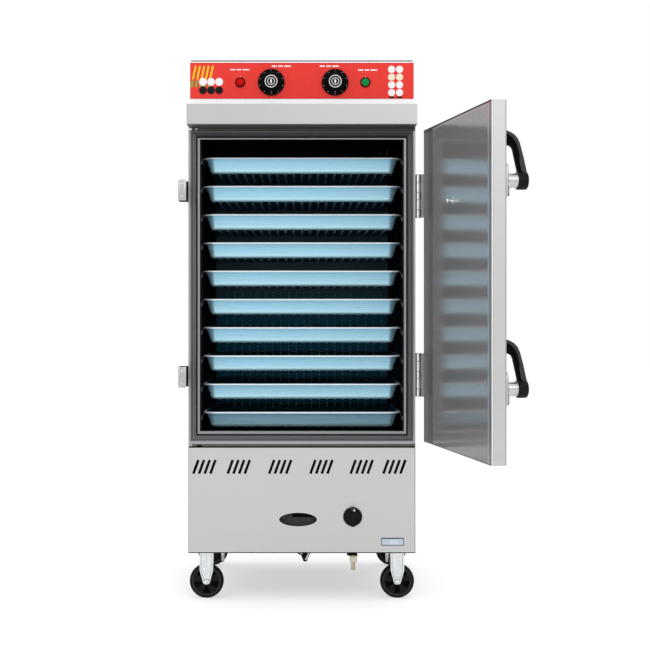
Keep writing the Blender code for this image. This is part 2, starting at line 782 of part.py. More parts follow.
def build_water_tank():
    tank = box(
        "water_tank",
        (-INNER_HALF, INNER_FRONT_Y, DECK_Z - SKIN),
        (INNER_HALF, INNER_BACK_Y, DECK_Z),
    )
    join(tank, box(
        "tank_body",
        (-TANK_HALF, TANK_FRONT_Y, TANK_BOTTOM_Z),
        (TANK_HALF, TANK_BACK_Y, DECK_Z),
    ))
    cut(tank, box(
        "tank_hollow",
        (SKIN - TANK_HALF, TANK_FRONT_Y + SKIN, TANK_BOTTOM_Z + SKIN),
        (TANK_HALF - SKIN, TANK_BACK_Y - SKIN, DECK_Z + OVERRUN),
    ))
    element_z = TANK_BOTTOM_Z + ELEMENT_RISE
    for x in (element_xs()[0], element_xs()[-1]):
        cut(tank, rod(
            "element_hole",
            (x, TANK_BACK_Y - SKIN - OVERRUN, element_z),
            (x, TANK_BACK_Y + OVERRUN, element_z),
            ELEMENT_RADIUS + BORE_CLEARANCE,
            sides=SMALL_SIDES,
        ))
    cut(tank, rod(
        "tank_drain",
        (DRAIN_X, DRAIN_Y, TANK_BOTTOM_Z - OVERRUN),
        (DRAIN_X, DRAIN_Y, TANK_BOTTOM_Z + SKIN + OVERRUN),
        DRAIN_BORE_RADIUS,
        sides=SMALL_SIDES,
    ))
    finish(tank, "dark stainless")


def build_heating_element():
    """A bar that runs to and fro in the tank, its two ends through the back wall."""
    bend = ELEMENT_PITCH / 2
    z = TANK_BOTTOM_Z + ELEMENT_RISE
    front = TANK_FRONT_Y + ELEMENT_FRONT_MARGIN
    back = TANK_BACK_Y - SKIN - ELEMENT_BACK_MARGIN - bend
    end = TANK_BACK_Y + GAP + ELEMENT_NUT_LENGTH
    xs = element_xs()
    path = [(xs[0], end)]
    for run, x in enumerate(xs[:-1]):
        if run % 2:
            path += arc((x + bend, back), bend, 180, 0, 2 * CORNER_STEPS)
        else:
            path += arc((x + bend, front), bend, 180, 360, 2 * CORNER_STEPS)
    path.append((xs[-1], end))
    element = tube("heating_element", [(x, y, z) for x, y in path], ELEMENT_RADIUS)
    for x in (xs[0], xs[-1]):
        join(element, rod(
            "element_nut",
            (x, TANK_BACK_Y + GAP, z),
            (x, end, z),
            ELEMENT_NUT_RADIUS,
            sides=SMALL_SIDES,
        ))
    finish(element, "dark stainless")


# Runners and trays
def tray_heights():
    """The tops of the tray rims, from the highest tray down."""
    return [TRAY_TOP_Z - i * TRAY_PITCH for i in range(TRAY_COUNT)]


def build_rack(side, sign):
    """Two upright strips on the liner's wall with one runner for each tray."""
    front = LINER_FRONT_Y + SKIN + GAP
    back = TRAY_FRONT_Y + TRAY_LENGTH + RUNNER_END_MARGIN
    wall = DOORWAY_HALF - GAP
    root = wall - RACK_STRIP / 2
    tip = TRAY_HALF - RUNNER_BEARING
    low_x, high_x = sorted((sign * wall, sign * (wall - RACK_STRIP)))
    strips = []
    for share in RACK_STRIP_SHARES:
        middle = front + share * (back - front)
        strips.append(box(
            f"rack_{side}",
            (low_x, middle - RACK_STRIP_WIDTH / 2, DECK_Z + GAP),
            (high_x, middle + RACK_STRIP_WIDTH / 2, DOORWAY_TOP_Z + RACK_STRIP_RISE),
        ))
    rack = join(*strips)
    outline = (
        (sign * root, 0),
        (sign * tip, 0),
        (sign * tip, -RUNNER_NOSE),
        (sign * root, -RUNNER_HEIGHT),
    )
    for rim_z in tray_heights():
        top = rim_z - TRAY_RIM_LIP - GAP
        place = (0, (front + back) / 2, top)
        join(rack, slab("runner", outline, back - front, place, "front"))
    finish(rack, "stainless")


def tray_ring(bm, half_width, length, radius, z):
    """One round-cornered ring of points of the tray."""
    outline = rounded_rectangle(2 * half_width, length, radius)
    verts = [bm.verts.new((x, y, z)) for x, y in outline]
    for first, second in zip(verts, verts[1:] + verts[:1]):
        bm.edges.new((first, second))
    return verts


def build_tray(name, rim_z):
    """A pan drawn as an open surface, with a rim turned over its edge, then made thick."""
    body_half = TRAY_HALF - TRAY_RIM_WIDTH
    body_length = TRAY_LENGTH - 2 * TRAY_RIM_WIDTH
    floor_z = TRAY_SHEET - TRAY_HEIGHT
    soft = TRAY_EDGE_RADIUS
    bend = soft * (1 - math.sqrt(0.5))
    sections = (
        (TRAY_HALF, TRAY_LENGTH, TRAY_CORNER_RADIUS + TRAY_RIM_WIDTH, -TRAY_RIM_LIP),
        (TRAY_HALF, TRAY_LENGTH, TRAY_CORNER_RADIUS + TRAY_RIM_WIDTH, 0),
        (body_half, body_length, TRAY_CORNER_RADIUS, 0),
        (body_half - TRAY_DRAFT, body_length - 2 * TRAY_DRAFT, TRAY_CORNER_RADIUS, floor_z + soft),
        (
            body_half - TRAY_DRAFT - bend,
            body_length - 2 * (TRAY_DRAFT + bend),
            TRAY_CORNER_RADIUS - bend,
            floor_z + bend,
        ),
        (
            body_half - TRAY_DRAFT - soft,
            body_length - 2 * (TRAY_DRAFT + soft),
            TRAY_CORNER_RADIUS - soft,
            floor_z,
        ),
    )
    bm = bmesh.new()
    rings = [tray_ring(bm, *section) for section in sections]
    for upper, lower in zip(rings, rings[1:]):
        for i, corner in enumerate(upper):
            j = (i + 1) % len(upper)
            bm.faces.new((corner, upper[j], lower[j], lower[i]))
    bm.faces.new(rings[-1])
    tray = place_mesh(name, bm, (0, TRAY_FRONT_Y + TRAY_LENGTH / 2, rim_z))
    thick = tray.modifiers.new("sheet", "SOLIDIFY")
    thick.thickness = TRAY_SHEET
    thick.offset = -1
    thick.use_even_offset = True
    finish(smooth(tray), "tray blue")


def build_trays():
    for side, sign in SIDES:
        build_rack(side, sign)
    for number, rim_z in enumerate(tray_heights(), 1):
        build_tray(f"tray_{number:02d}", rim_z)


# Control box
def wall_bores(obj, low_y, high_y):
    """Holes for the dial shafts and the lamp bodies through a front sheet."""
    holes = (
        (TEMPERATURE_DIAL_X, DIAL_SHAFT_RADIUS),
        (TIMER_DIAL_X, DIAL_SHAFT_RADIUS),
        (POWER_LAMP_X, LAMP_BODY_RADIUS),
        (HEATING_LAMP_X, LAMP_BODY_RADIUS),
    )
    for x, radius in holes:
        cut(obj, rod(
            "control_bore",
            (x, low_y - OVERRUN, CONTROL_Z),
            (x, high_y + OVERRUN, CONTROL_Z),
            radius + BORE_CLEARANCE,
            sides=SMALL_SIDES,
        ))


def build_control_box():
    bottom = ROOF_Z + GAP
    case = box(
        "control_box",
        (-CONTROL_HALF, CONTROL_WALL_Y, bottom),
        (CONTROL_HALF, CONTROL_BACK_Y, CONTROL_TOP_Z),
    )
    collar_z = bottom + ENTRY_RISE
    join(case, rod(
        "entry_collar",
        (ENTRY_X, CONTROL_BACK_Y - SKIN / 2, collar_z),
        (ENTRY_X, CONTROL_BACK_Y + ENTRY_COLLAR_LENGTH, collar_z),
        ENTRY_COLLAR_RADIUS,
        sides=SMALL_SIDES,
    ))
    cut(
        case,
        box(
            "control_hollow",
            (SKIN - CONTROL_HALF, CONTROL_WALL_Y + SKIN, bottom - OVERRUN),
            (CONTROL_HALF - SKIN, CONTROL_BACK_Y - SKIN, CONTROL_TOP_Z - SKIN),
        ),
        rod(
            "entry_bore",
            (ENTRY_X, CONTROL_BACK_Y - SKIN - OVERRUN, collar_z),
            (ENTRY_X, CONTROL_BACK_Y + ENTRY_COLLAR_LENGTH + OVERRUN, collar_z),
            ENTRY_BORE_RADIUS,
            sides=SMALL_SIDES,
        ),
    )
    wall_bores(case, CONTROL_WALL_Y, CONTROL_WALL_Y + SKIN)
    finish(case, "stainless")

    panel = box(
        "control_panel",
        (-CONTROL_HALF, CONTROL_FRONT_Y, FASCIA_BOTTOM_Z),
        (CONTROL_HALF, CONTROL_FRONT_Y + SKIN, FASCIA_BOTTOM_Z + FASCIA_HEIGHT),
    )
    wall_bores(panel, CONTROL_FRONT_Y, CONTROL_FRONT_Y + SKIN)
    finish(panel, "fascia red")


def build_control_chassis():
    """A tray on the roof inside the box, with the two switch bodies and their shafts."""
    bottom = ROOF_Z + GAP
    front = CONTROL_WALL_Y + SKIN + GAP
    back = CONTROL_BACK_Y - SKIN - GAP
    first = TEMPERATURE_DIAL_X - SWITCH_SIZE / 2
    last = TIMER_DIAL_X + SWITCH_SIZE / 2
    chassis = box("control_chassis", (first, front, bottom), (last, back, bottom + SKIN))
    join(chassis, box(
        "switch_bracket",
        (first, front, bottom),
        (last, front + SKIN, CONTROL_Z + SWITCH_SIZE / 2),
    ))
    for x in (TEMPERATURE_DIAL_X, TIMER_DIAL_X):
        body = box(
            "switch_body",
            (x - SWITCH_SIZE / 2, front + SKIN / 2, CONTROL_Z - SWITCH_SIZE / 2),
            (x + SWITCH_SIZE / 2, front + SWITCH_DEPTH, CONTROL_Z + SWITCH_SIZE / 2),
        )
        shaft = rod(
            "dial_shaft",
            (x, front + SWITCH_DEPTH / 2, CONTROL_Z),
            (x, CONTROL_FRONT_Y - DIAL_SHAFT_REACH, CONTROL_Z),
            DIAL_SHAFT_RADIUS,
            sides=SMALL_SIDES,
        )
        join(chassis, body, shaft)
    finish(chassis, "dark stainless")


def build_dial(name, x):
    """A round dial with a flat skirt, a raised grip and a pointer above its middle."""
    axis = pivot(f"{name}_axis", (x, CONTROL_FRONT_Y - GAP, CONTROL_Z))
    back_y = CONTROL_FRONT_Y - GAP
    round_edge = DIAL_SKIRT / 4
    grip = DIAL_GRIP_RADIUS
    profile = (
        (0, DIAL_DEPTH),
        (grip - round_edge, DIAL_DEPTH),
        (grip, DIAL_DEPTH - round_edge),
        (grip, DIAL_SKIRT),
        (DIAL_RADIUS - round_edge, DIAL_SKIRT),
        (DIAL_RADIUS, DIAL_SKIRT - round_edge),
        (DIAL_RADIUS, 0),
        (0, 0),
    )
    dial = turned(name, profile, (x, back_y, CONTROL_Z))
    pointer_z = CONTROL_Z + DIAL_POINTER_SHARE * DIAL_GRIP_RADIUS
    join(dial, rod(
        "dial_pointer",
        (x, back_y - DIAL_DEPTH / 2, pointer_z),
        (x, back_y - DIAL_DEPTH - SKIN / 2, pointer_z),
        DIAL_POINTER_RADIUS,
        sides=SMALL_SIDES,
    ))
    cut(dial, rod(
        "dial_bore",
        (x, back_y + OVERRUN, CONTROL_Z),
        (x, CONTROL_FRONT_Y - DIAL_SHAFT_REACH - GAP, CONTROL_Z),
        DIAL_SHAFT_RADIUS + BORE_CLEARANCE,
        sides=SMALL_SIDES,
    ))
    finish(dial, "black plastic", axis)


def build_lamp(name, x, look):
    back_y = CONTROL_FRONT_Y - GAP
    lens = LAMP_LENS_RADIUS
    profile = (
        (0, LAMP_LENS_DEPTH),
        (lens * math.sin(math.radians(40)), LAMP_LENS_DEPTH - SKIN / 2),
        (lens * math.sin(math.radians(70)), (LAMP_LENS_DEPTH + LAMP_BEZEL_DEPTH) / 2),
        (lens, LAMP_BEZEL_DEPTH),
        (LAMP_BEZEL_RADIUS - SKIN / 2, LAMP_BEZEL_DEPTH),
        (LAMP_BEZEL_RADIUS, LAMP_BEZEL_DEPTH / 2),
        (LAMP_BEZEL_RADIUS, 0),
        (LAMP_BODY_RADIUS, 0),
        (LAMP_BODY_RADIUS, -LAMP_BODY_LENGTH),
        (0, -LAMP_BODY_LENGTH),
    )
    lamp = turned(name, profile, (x, back_y, CONTROL_Z), sides=SMALL_SIDES)
    finish(lamp, look)


def build_controls():
    build_control_box()
    build_control_chassis()
    build_dial("temperature_dial", TEMPERATURE_DIAL_X)
    build_dial("timer_dial", TIMER_DIAL_X)
    build_lamp("power_lamp", POWER_LAMP_X, "lamp red")
    build_lamp("heating_lamp", HEATING_LAMP_X, "lamp green")


# Door, hinges, latches and keepers
def build_door_leaf(door):
    shell = box(
        "door_outer_shell",
        (-DOOR_HALF, DOOR_OUTER_Y, DOOR_BOTTOM_Z),
        (DOOR_HALF, DOOR_SHELL_BACK_Y, DOOR_TOP_Z),
    )
    cut(shell, box(
        "door_hollow",
        (SKIN - DOOR_HALF, DOOR_OUTER_Y + SKIN, DOOR_BOTTOM_Z + SKIN),
        (DOOR_HALF - SKIN, DOOR_SHELL_BACK_Y + OVERRUN, DOOR_TOP_Z - SKIN),
    ))
    finish(shell, "stainless", door)
    inset = SKIN + GAP
    finish(box(
        "door_insulation",
        (inset - DOOR_HALF, DOOR_OUTER_Y + inset, DOOR_BOTTOM_Z + inset),
        (DOOR_HALF - inset, DOOR_SHELL_BACK_Y, DOOR_TOP_Z - inset),
    ), "mineral wool", door)
    finish(box(
        "door_inner_panel",
        (-DOOR_HALF, DOOR_INNER_Y - DOOR_INNER_THICKNESS, DOOR_BOTTOM_Z),
        (DOOR_HALF, DOOR_INNER_Y, DOOR_TOP_Z),
    ), "stainless", door)


def knuckle_spans(middle):
    """The bottom and top of each knuckle, from the lowest up."""
    bottom = middle - HINGE_HEIGHT / 2
    spans = []
    for share in KNUCKLE_SHARES:
        top = bottom + share * HINGE_HEIGHT
        spans.append((bottom + GAP / 2, top - GAP / 2))
        bottom = top
    return spans


def barrel_rod(name, low, high, radius):
    return rod(name, (BARREL_X, BARREL_Y, low), (BARREL_X, BARREL_Y, high), radius, sides=SMALL_SIDES)


def build_hinge(level, share, door):
    """A frame leaf with its pin, and a door leaf whose knuckles turn on it."""
    spans = knuckle_spans(FRAME_BOTTOM_Z + share * FRAME_HEIGHT)
    low, high = spans[0][0], spans[-1][1]
    relief = BARREL_RADIUS + GAP
    margin = 2 * GAP
    wall = HALF_WIDTH + GAP
    frame_leaf = box(
        f"hinge_frame_leaf_{level}",
        (wall, BARREL_Y, low + margin),
        (wall + HINGE_LEAF, BARREL_Y + HINGE_LEAF_REACH, high - margin),
    )
    for bottom, top in spans[0::2]:
        cut(frame_leaf, barrel_rod("knuckle_relief", bottom - margin, top + margin, relief))
    for bottom, top in spans[1::2]:
        join(frame_leaf, barrel_rod("frame_knuckle", bottom, top, BARREL_RADIUS))
    join(frame_leaf, barrel_rod("hinge_pin", low, high, PIN_RADIUS))
    finish(frame_leaf, "stainless")

    edge = DOOR_HALF + GAP
    web_back = FRONT_Y - HINGE_WEB_BACK
    outline = (
        (edge, DOOR_OUTER_Y),
        (edge + HINGE_LEAF, DOOR_OUTER_Y),
        (edge + HINGE_LEAF, web_back - HINGE_LEAF),
        (BARREL_X, web_back - HINGE_LEAF),
        (BARREL_X, web_back),
        (edge, web_back),
    )
    name = f"hinge_door_leaf_{level}"
    door_leaf = slab(name, outline, high - low - 2 * margin, (0, 0, (low + high) / 2))
    for bottom, top in spans[1::2]:
        cut(door_leaf, barrel_rod("knuckle_relief", bottom - margin, top + margin, relief))
    for bottom, top in spans[0::2]:
        join(door_leaf, barrel_rod("door_knuckle", bottom, top, BARREL_RADIUS))
    cut(door_leaf, barrel_rod(
        "pin_bore", low - OVERRUN, high + OVERRUN, PIN_RADIUS + PIN_CLEARANCE
    ))
    finish(door_leaf, "stainless", door)


def build_latch(level, share, rise, door):
    """A cam latch: its heights are measured outwards from the door's face."""
    z = DOOR_BOTTOM_Z + share * DOOR_HEIGHT
    axis = pivot(f"latch_axis_{level}", (LATCH_X, DOOR_OUTER_Y, z), door)

    def out(height):
        return DOOR_OUTER_Y - height

    base = slab(
        f"latch_base_{level}",
        capsule(LATCH_BASE_WIDTH, LATCH_BASE_HEIGHT),
        LATCH_BASE_THICKNESS - GAP,
        (LATCH_X, out((LATCH_BASE_THICKNESS + GAP) / 2), z),
        "front",
    )
    finish(base, "zinc", door)

    post_start = LATCH_BASE_THICKNESS + GAP
    cam = rod(
        f"latch_cam_{level}",
        (LATCH_X, out(post_start), z),
        (LATCH_X, out(POST_TOP), z),
        POST_RADIUS,
    )
    join(cam, box(
        "cam_tongue",
        (LATCH_X - TONGUE_WIDTH / 2, out(TONGUE_START + TONGUE_THICKNESS), z - TONGUE_LENGTH),
        (LATCH_X + TONGUE_WIDTH / 2, out(TONGUE_START), z),
    ))
    finish(cam, "zinc", axis)

    lever = rod(
        f"latch_lever_{level}",
        (LATCH_X, out(POST_TOP + GAP), z),
        (LATCH_X, out(LEVER_STANDOFF), z),
        LEVER_HUB_RADIUS,
    )
    outline = [(-h * LEVER_STANDOFF, v * LEVER_LENGTH) for h, v in LEVER_OUTLINE_SHARES]
    join(lever, slab("lever_arm", outline, LEVER_WIDTH, (LATCH_X, DOOR_OUTER_Y, z), "right"))
    finish(lever, "black plastic", axis)

    build_keeper(level, z + rise)


def build_keeper(level, z):
    """A bent strip on the left wall, whose front lip holds the latch's tongue."""
    sheet = KEEPER_SHEET
    wall = -HALF_WIDTH - GAP
    outer = -HALF_WIDTH - KEEPER_REACH
    lip_back = DOOR_OUTER_Y - TONGUE_START - TONGUE_THICKNESS - KEEPER_LIP_CLEARANCE
    lip_front = lip_back - sheet
    web = FRONT_Y + KEEPER_WEB_BACK
    outline = (
        (wall, web + KEEPER_FLANGE),
        (wall - sheet, web + KEEPER_FLANGE),
        (wall - sheet, web + sheet),
        (outer, web + sheet),
        (outer, lip_front),
        (outer + KEEPER_LIP_WIDTH, lip_front),
        (outer + KEEPER_LIP_WIDTH, lip_back),
        (outer + sheet, lip_back),
        (outer + sheet, web),
        (wall, web),
    )
    finish(slab(f"keeper_{level}", outline, KEEPER_HEIGHT, (0, 0, z)), "stainless")


def build_door():
    door = pivot("door_axis", (BARREL_X, BARREL_Y, 0))
    build_door_leaf(door)
    for level, hinge, latch, rise in zip(
        LEVELS, HINGE_HEIGHT_SHARES, LATCH_HEIGHT_SHARES, KEEPER_RISES
    ):
        build_hinge(level, hinge, door)
        build_latch(level, latch, rise, door)
    door.rotation_euler.z = DOOR_OPEN_ANGLE


# Gas line and drain
def upright(name, x, y, low, high, radius, end_radius=None, sides=SMALL_SIDES):
    return rod(name, (x, y, low), (x, y, high), radius, end_radius, sides)


def build_gas_line():
    riser_top = PAN_TOP_Z + INLET_RISER
    stem_bottom = FLOOR_PAN_Z - INLET_STEM_LENGTH
    ring_bottom = stem_bottom - INLET_RING_LENGTH
    hex_bottom = ring_bottom - INLET_HEX_LENGTH
    barb_bottom = hex_bottom - INLET_BARB_LENGTH
    lap = INLET_RING_LENGTH / 2
    inlet = upright("gas_inlet", GAS_X, GAS_Y, stem_bottom, riser_top, GAS_PIPE_RADIUS)
    join(
        inlet,
        upright("inlet_stem", GAS_X, GAS_Y, stem_bottom, FLOOR_PAN_Z - GAP, INLET_STEM_RADIUS),
        upright("inlet_ring", GAS_X, GAS_Y, ring_bottom, stem_bottom + SKIN, INLET_RING_RADIUS),
        upright("inlet_hex", GAS_X, GAS_Y, hex_bottom, ring_bottom + lap, INLET_HEX_RADIUS, sides=6),
        upright("inlet_barb", GAS_X, GAS_Y, barb_bottom, hex_bottom + lap, INLET_BARB_RADIUS),
        upright(
            "inlet_flare",
            GAS_X,
            GAS_Y,
            barb_bottom,
            barb_bottom + INLET_FLARE_LENGTH,
            INLET_BARB_RADIUS + INLET_FLARE,
            INLET_BARB_RADIUS,
        ),
    )
    finish(inlet, "brass")

    body_front = GAS_Y - VALVE_DEPTH / 2
    body_back = GAS_Y + VALVE_DEPTH / 2
    valve = box(
        "gas_valve",
        (GAS_X - VALVE_WIDTH / 2, body_front, KNOB_Z - VALVE_HEIGHT / 2),
        (GAS_X + VALVE_WIDTH / 2, body_back, KNOB_Z + VALVE_HEIGHT / 2),
    )
    join(
        valve,
        rod(
            "valve_shaft",
            (GAS_X, GAS_Y, KNOB_Z),
            (GAS_X, FRONT_Y - KNOB_BORE_DEPTH, KNOB_Z),
            VALVE_SHAFT_RADIUS,
            sides=SMALL_SIDES,
        ),
        rod(
            "valve_outlet",
            (GAS_X, GAS_Y, KNOB_Z),
            (GAS_X, MANIFOLD_Y - MANIFOLD_RADIUS - GAP, KNOB_Z),
            GAS_PIPE_RADIUS,
            sides=SMALL_SIDES,
        ),
        upright("valve_feed", GAS_X, GAS_Y, riser_top + GAP, KNOB_Z, GAS_PIPE_RADIUS),
    )
    finish(valve, "brass")

    knob_back = FRONT_Y - GAP
    axis = pivot("gas_knob_axis", (GAS_X, knob_back, KNOB_Z))
    knob = rod(
        "gas_knob",
        (GAS_X, knob_back, KNOB_Z),
        (GAS_X, knob_back - KNOB_SKIRT, KNOB_Z),
        KNOB_RADIUS,
    )
    join(knob, slab(
        "knob_grip",
        capsule(KNOB_GRIP_WIDTH, KNOB_GRIP_LENGTH),
        KNOB_DEPTH - KNOB_SKIRT / 2,
        (GAS_X, knob_back - (KNOB_DEPTH + KNOB_SKIRT / 2) / 2, KNOB_Z),
        "front",
    ))
    cut(knob, rod(
        "knob_bore",
        (GAS_X, knob_back + OVERRUN, KNOB_Z),
        (GAS_X, knob_back - KNOB_BORE_DEPTH, KNOB_Z),
        VALVE_SHAFT_RADIUS + BORE_CLEARANCE,
        sides=SMALL_SIDES,
    ))
    finish(knob, "black plastic", axis)


def build_gas_burner():
    half = MANIFOLD_LENGTH / 2
    burner = rod(
        "gas_burner",
        (-half, MANIFOLD_Y, KNOB_Z),
        (half, MANIFOLD_Y, KNOB_Z),
        MANIFOLD_RADIUS,
        sides=SMALL_SIDES,
    )
    bar_end = MANIFOLD_Y + BURNER_BAR_LENGTH
    for share in BURNER_BAR_SHARES:
        x = share * MANIFOLD_LENGTH
        join(burner, rod(
            "burner_bar",
            (x, MANIFOLD_Y, KNOB_Z),
            (x, bar_end, KNOB_Z),
            BURNER_BAR_RADIUS,
            sides=SMALL_SIDES,
        ))
    beam_y = bar_end - BURNER_BAR_RADIUS - BURNER_BEAM_WIDTH
    join(burner, box(
        "burner_beam",
        (-half, beam_y, KNOB_Z - BURNER_BEAM / 2),
        (half, beam_y + BURNER_BEAM_WIDTH, KNOB_Z + BURNER_BEAM / 2),
    ))
    foot = BURNER_FOOT_WIDTH
    foot_top = KNOB_Z - MANIFOLD_RADIUS / 4
    for x in (BURNER_FOOT_INSET - half, half - BURNER_FOOT_INSET - foot):
        for y in (MANIFOLD_Y - foot / 2, beam_y + (BURNER_BEAM_WIDTH - foot) / 2):
            join(burner, box(
                "burner_foot",
                (x, y, PAN_TOP_Z + GAP),
                (x + foot, y + foot, foot_top),
            ))
    finish(burner, "dark stainless")


def build_drain():
    body_top = FLOOR_PAN_Z - GAP
    body_bottom = body_top - DRAIN_BODY_LENGTH
    nozzle_bottom = body_bottom - DRAIN_NOZZLE_LENGTH
    top = TANK_BOTTOM_Z - GAP
    drain = upright("drain_valve", DRAIN_X, DRAIN_Y, body_bottom, top, DRAIN_PIPE_RADIUS)
    join(
        drain,
        upright("drain_body", DRAIN_X, DRAIN_Y, body_bottom, body_top, DRAIN_BODY_RADIUS),
        upright(
            "drain_nozzle", DRAIN_X, DRAIN_Y, nozzle_bottom, body_bottom + SKIN, DRAIN_NOZZLE_RADIUS
        ),
    )
    cut(drain, upright(
        "drain_bore", DRAIN_X, DRAIN_Y, nozzle_bottom - OVERRUN, top + OVERRUN, DRAIN_BORE_RADIUS
    ))
    finish(drain, "dark stainless")

    z = FLOOR_PAN_Z - DRAIN_LEVER_DROP
    root = DRAIN_X - DRAIN_BODY_RADIUS - GAP
    arm_right = root - DRAIN_LEVER_OFFSET
    arm_left = arm_right - DRAIN_LEVER_WIDTH
    axis = pivot("drain_lever_axis", (root, DRAIN_Y, z))
    lever = rod(
        "drain_lever",
        (root, DRAIN_Y, z),
        ((arm_left + arm_right) / 2, DRAIN_Y, z),
        DRAIN_STEM_RADIUS,
        sides=SMALL_SIDES,
    )
    half = DRAIN_LEVER_THICKNESS / 2
    join(lever, box(
        "lever_plate",
        (arm_left, DRAIN_Y - DRAIN_LEVER_THICKNESS, z - half),
        (arm_right, DRAIN_Y + DRAIN_LEVER_LENGTH, z + half),
    ))
    finish(lever, "black plastic", axis)


# Casters
def fork_leg(outline, y):
    return slab("fork_leg", outline, FORK_SHEET, (0, y, 0), "front")


def leg_outline(top_x, wheel_x, top_z):
    """A leg that runs straight down and then narrows to a round tip about the axle."""
    half = FORK_WIDTH / 2
    knee_z = FLOOR_PAN_Z - FORK_STRAIGHT
    tip = arc((wheel_x, WHEEL_RADIUS), FORK_TIP_RADIUS, 200, 340, 2 * CORNER_STEPS)
    share = (top_z - knee_z) / (top_z - WHEEL_RADIUS)
    knee_x = top_x + share * (wheel_x - top_x)
    return (
        [(top_x + half, top_z), (top_x - half, top_z), (knee_x - half, knee_z)]
        + tip
        + [(knee_x + half, knee_z)]
    )


def add_fork(body, top_x, wheel_x, wheel_y, top_z):
    """Two legs and the axle with its heads, joined to a caster's plate or crown."""
    leg_y = WHEEL_WIDTH / 2 + FORK_CLEARANCE + FORK_SHEET / 2
    outline = leg_outline(top_x, wheel_x, top_z)
    reach = leg_y + FORK_SHEET / 2 + AXLE_HEAD_LENGTH
    join(
        body,
        fork_leg(outline, wheel_y - leg_y),
        fork_leg(outline, wheel_y + leg_y),
        rod(
            "axle",
            (wheel_x, wheel_y - leg_y, WHEEL_RADIUS),
            (wheel_x, wheel_y + leg_y, WHEEL_RADIUS),
            AXLE_RADIUS,
            sides=SMALL_SIDES,
        ),
    )
    for sign in (-1, 1):
        join(body, rod(
            "axle_head",
            (wheel_x, wheel_y + sign * leg_y, WHEEL_RADIUS),
            (wheel_x, wheel_y + sign * reach, WHEEL_RADIUS),
            AXLE_HEAD_RADIUS,
            sides=SMALL_SIDES,
        ))


def caster_plate(name, x, y):
    top = FLOOR_PAN_Z - GAP
    return box(
        name,
        (x - CASTER_PLATE_LENGTH / 2, y - CASTER_PLATE_WIDTH / 2, top - CASTER_PLATE),
        (x + CASTER_PLATE_LENGTH / 2, y + CASTER_PLATE_WIDTH / 2, top),
    )


def build_wheel(name, x, y, carrier=None):
    """A dished wheel with its tyre, bored for the axle."""
    half = WHEEL_WIDTH / 2
    rim = WHEEL_RIM_SHARE * WHEEL_RADIUS
    hub = WHEEL_HUB_SHARE * WHEEL_RADIUS
    bore = AXLE_RADIUS + BORE_CLEARANCE
    edge = WHEEL_TREAD_ROUND
    front = (
        (bore, half),
        (hub, half),
        (hub, half - WHEEL_DISH),
        (rim - WHEEL_DISH, half - WHEEL_DISH),
        (rim, half),
        (WHEEL_RADIUS - edge, half),
        (WHEEL_RADIUS, half - edge),
    )
    back = tuple((radius, -height) for radius, height in reversed(front))
    axis = pivot(f"{name}_axis", (x, y, WHEEL_RADIUS), carrier)
    wheel = turned(name, front + back + front[:1], (x, y, WHEEL_RADIUS))
    finish(wheel, "tyre", axis)


def build_front_caster(side, sign):
    x = sign * (HALF_WIDTH - FRONT_CASTER_INSET)
    y = FRONT_Y + FRONT_CASTER_SETBACK
    fork = caster_plate(f"front_fork_{side}", x, y)
    add_fork(fork, x, x, y, FLOOR_PAN_Z - GAP - CASTER_PLATE / 2)
    finish(fork, "zinc")
    build_wheel(f"wheel_front_{side}", x, y)


def build_rear_caster(side, sign):
    """A plate with its race and king pin, and the fork that swivels under it."""
    x = sign * (HALF_WIDTH - REAR_CASTER_INSET)
    y = BACK_Y - REAR_CASTER_SETIN
    race_top = FLOOR_PAN_Z - GAP - CASTER_PLATE / 2
    race_bottom = race_top - RACE_HEIGHT
    crown_top = race_bottom - GAP
    crown_bottom = crown_top - CROWN_THICKNESS
    head_top = crown_bottom - GAP
    plate = caster_plate(f"rear_plate_{side}", x, y)
    join(
        plate,
        upright("race", x, y, race_bottom, race_top, RACE_RADIUS, sides=ROUND_SIDES),
        upright("king_pin", x, y, head_top - KING_PIN_HEAD, race_top, KING_PIN_RADIUS),
        upright("king_pin_head", x, y, head_top - KING_PIN_HEAD, head_top, KING_PIN_HEAD_RADIUS),
    )
    finish(plate, "zinc")

    swivel = pivot(f"swivel_axis_{side}", (x, y, crown_top))
    fork = upright(
        f"rear_fork_{side}", x, y, crown_bottom, crown_top, RACE_RADIUS, sides=ROUND_SIDES
    )
    wheel_x = x + sign * TRAIL
    add_fork(fork, x, wheel_x, y, (crown_top + crown_bottom) / 2)
    cut(fork, upright(
        "king_pin_bore",
        x,
        y,
        crown_bottom - OVERRUN,
        crown_top + OVERRUN,
        KING_PIN_RADIUS + BORE_CLEARANCE,
    ))
    finish(fork, "zinc", swivel)
    build_wheel(f"wheel_rear_{side}", wheel_x, y, swivel)


def main():
    build_outer_shell()
    build_base_pan()
    build_base_front_panel()
    build_front_frame()
    build_top_hood()
    build_chamber()
    build_water_tank()
    build_heating_element()
    build_trays()
    build_controls()
    build_door()
    build_gas_line()
    build_gas_burner()
    build_drain()
    for side, sign in SIDES:
        build_front_caster(side, sign)
        build_rear_caster(side, sign)


main()
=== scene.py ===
"""Looks of the rice steamer cabinet: finishes, detailed pieces, studio and camera.

Metres, with X to the right, Y to the back and Z up, as in the frame.
"""

import json
import math

import bpy
from mathutils import Matrix, Vector


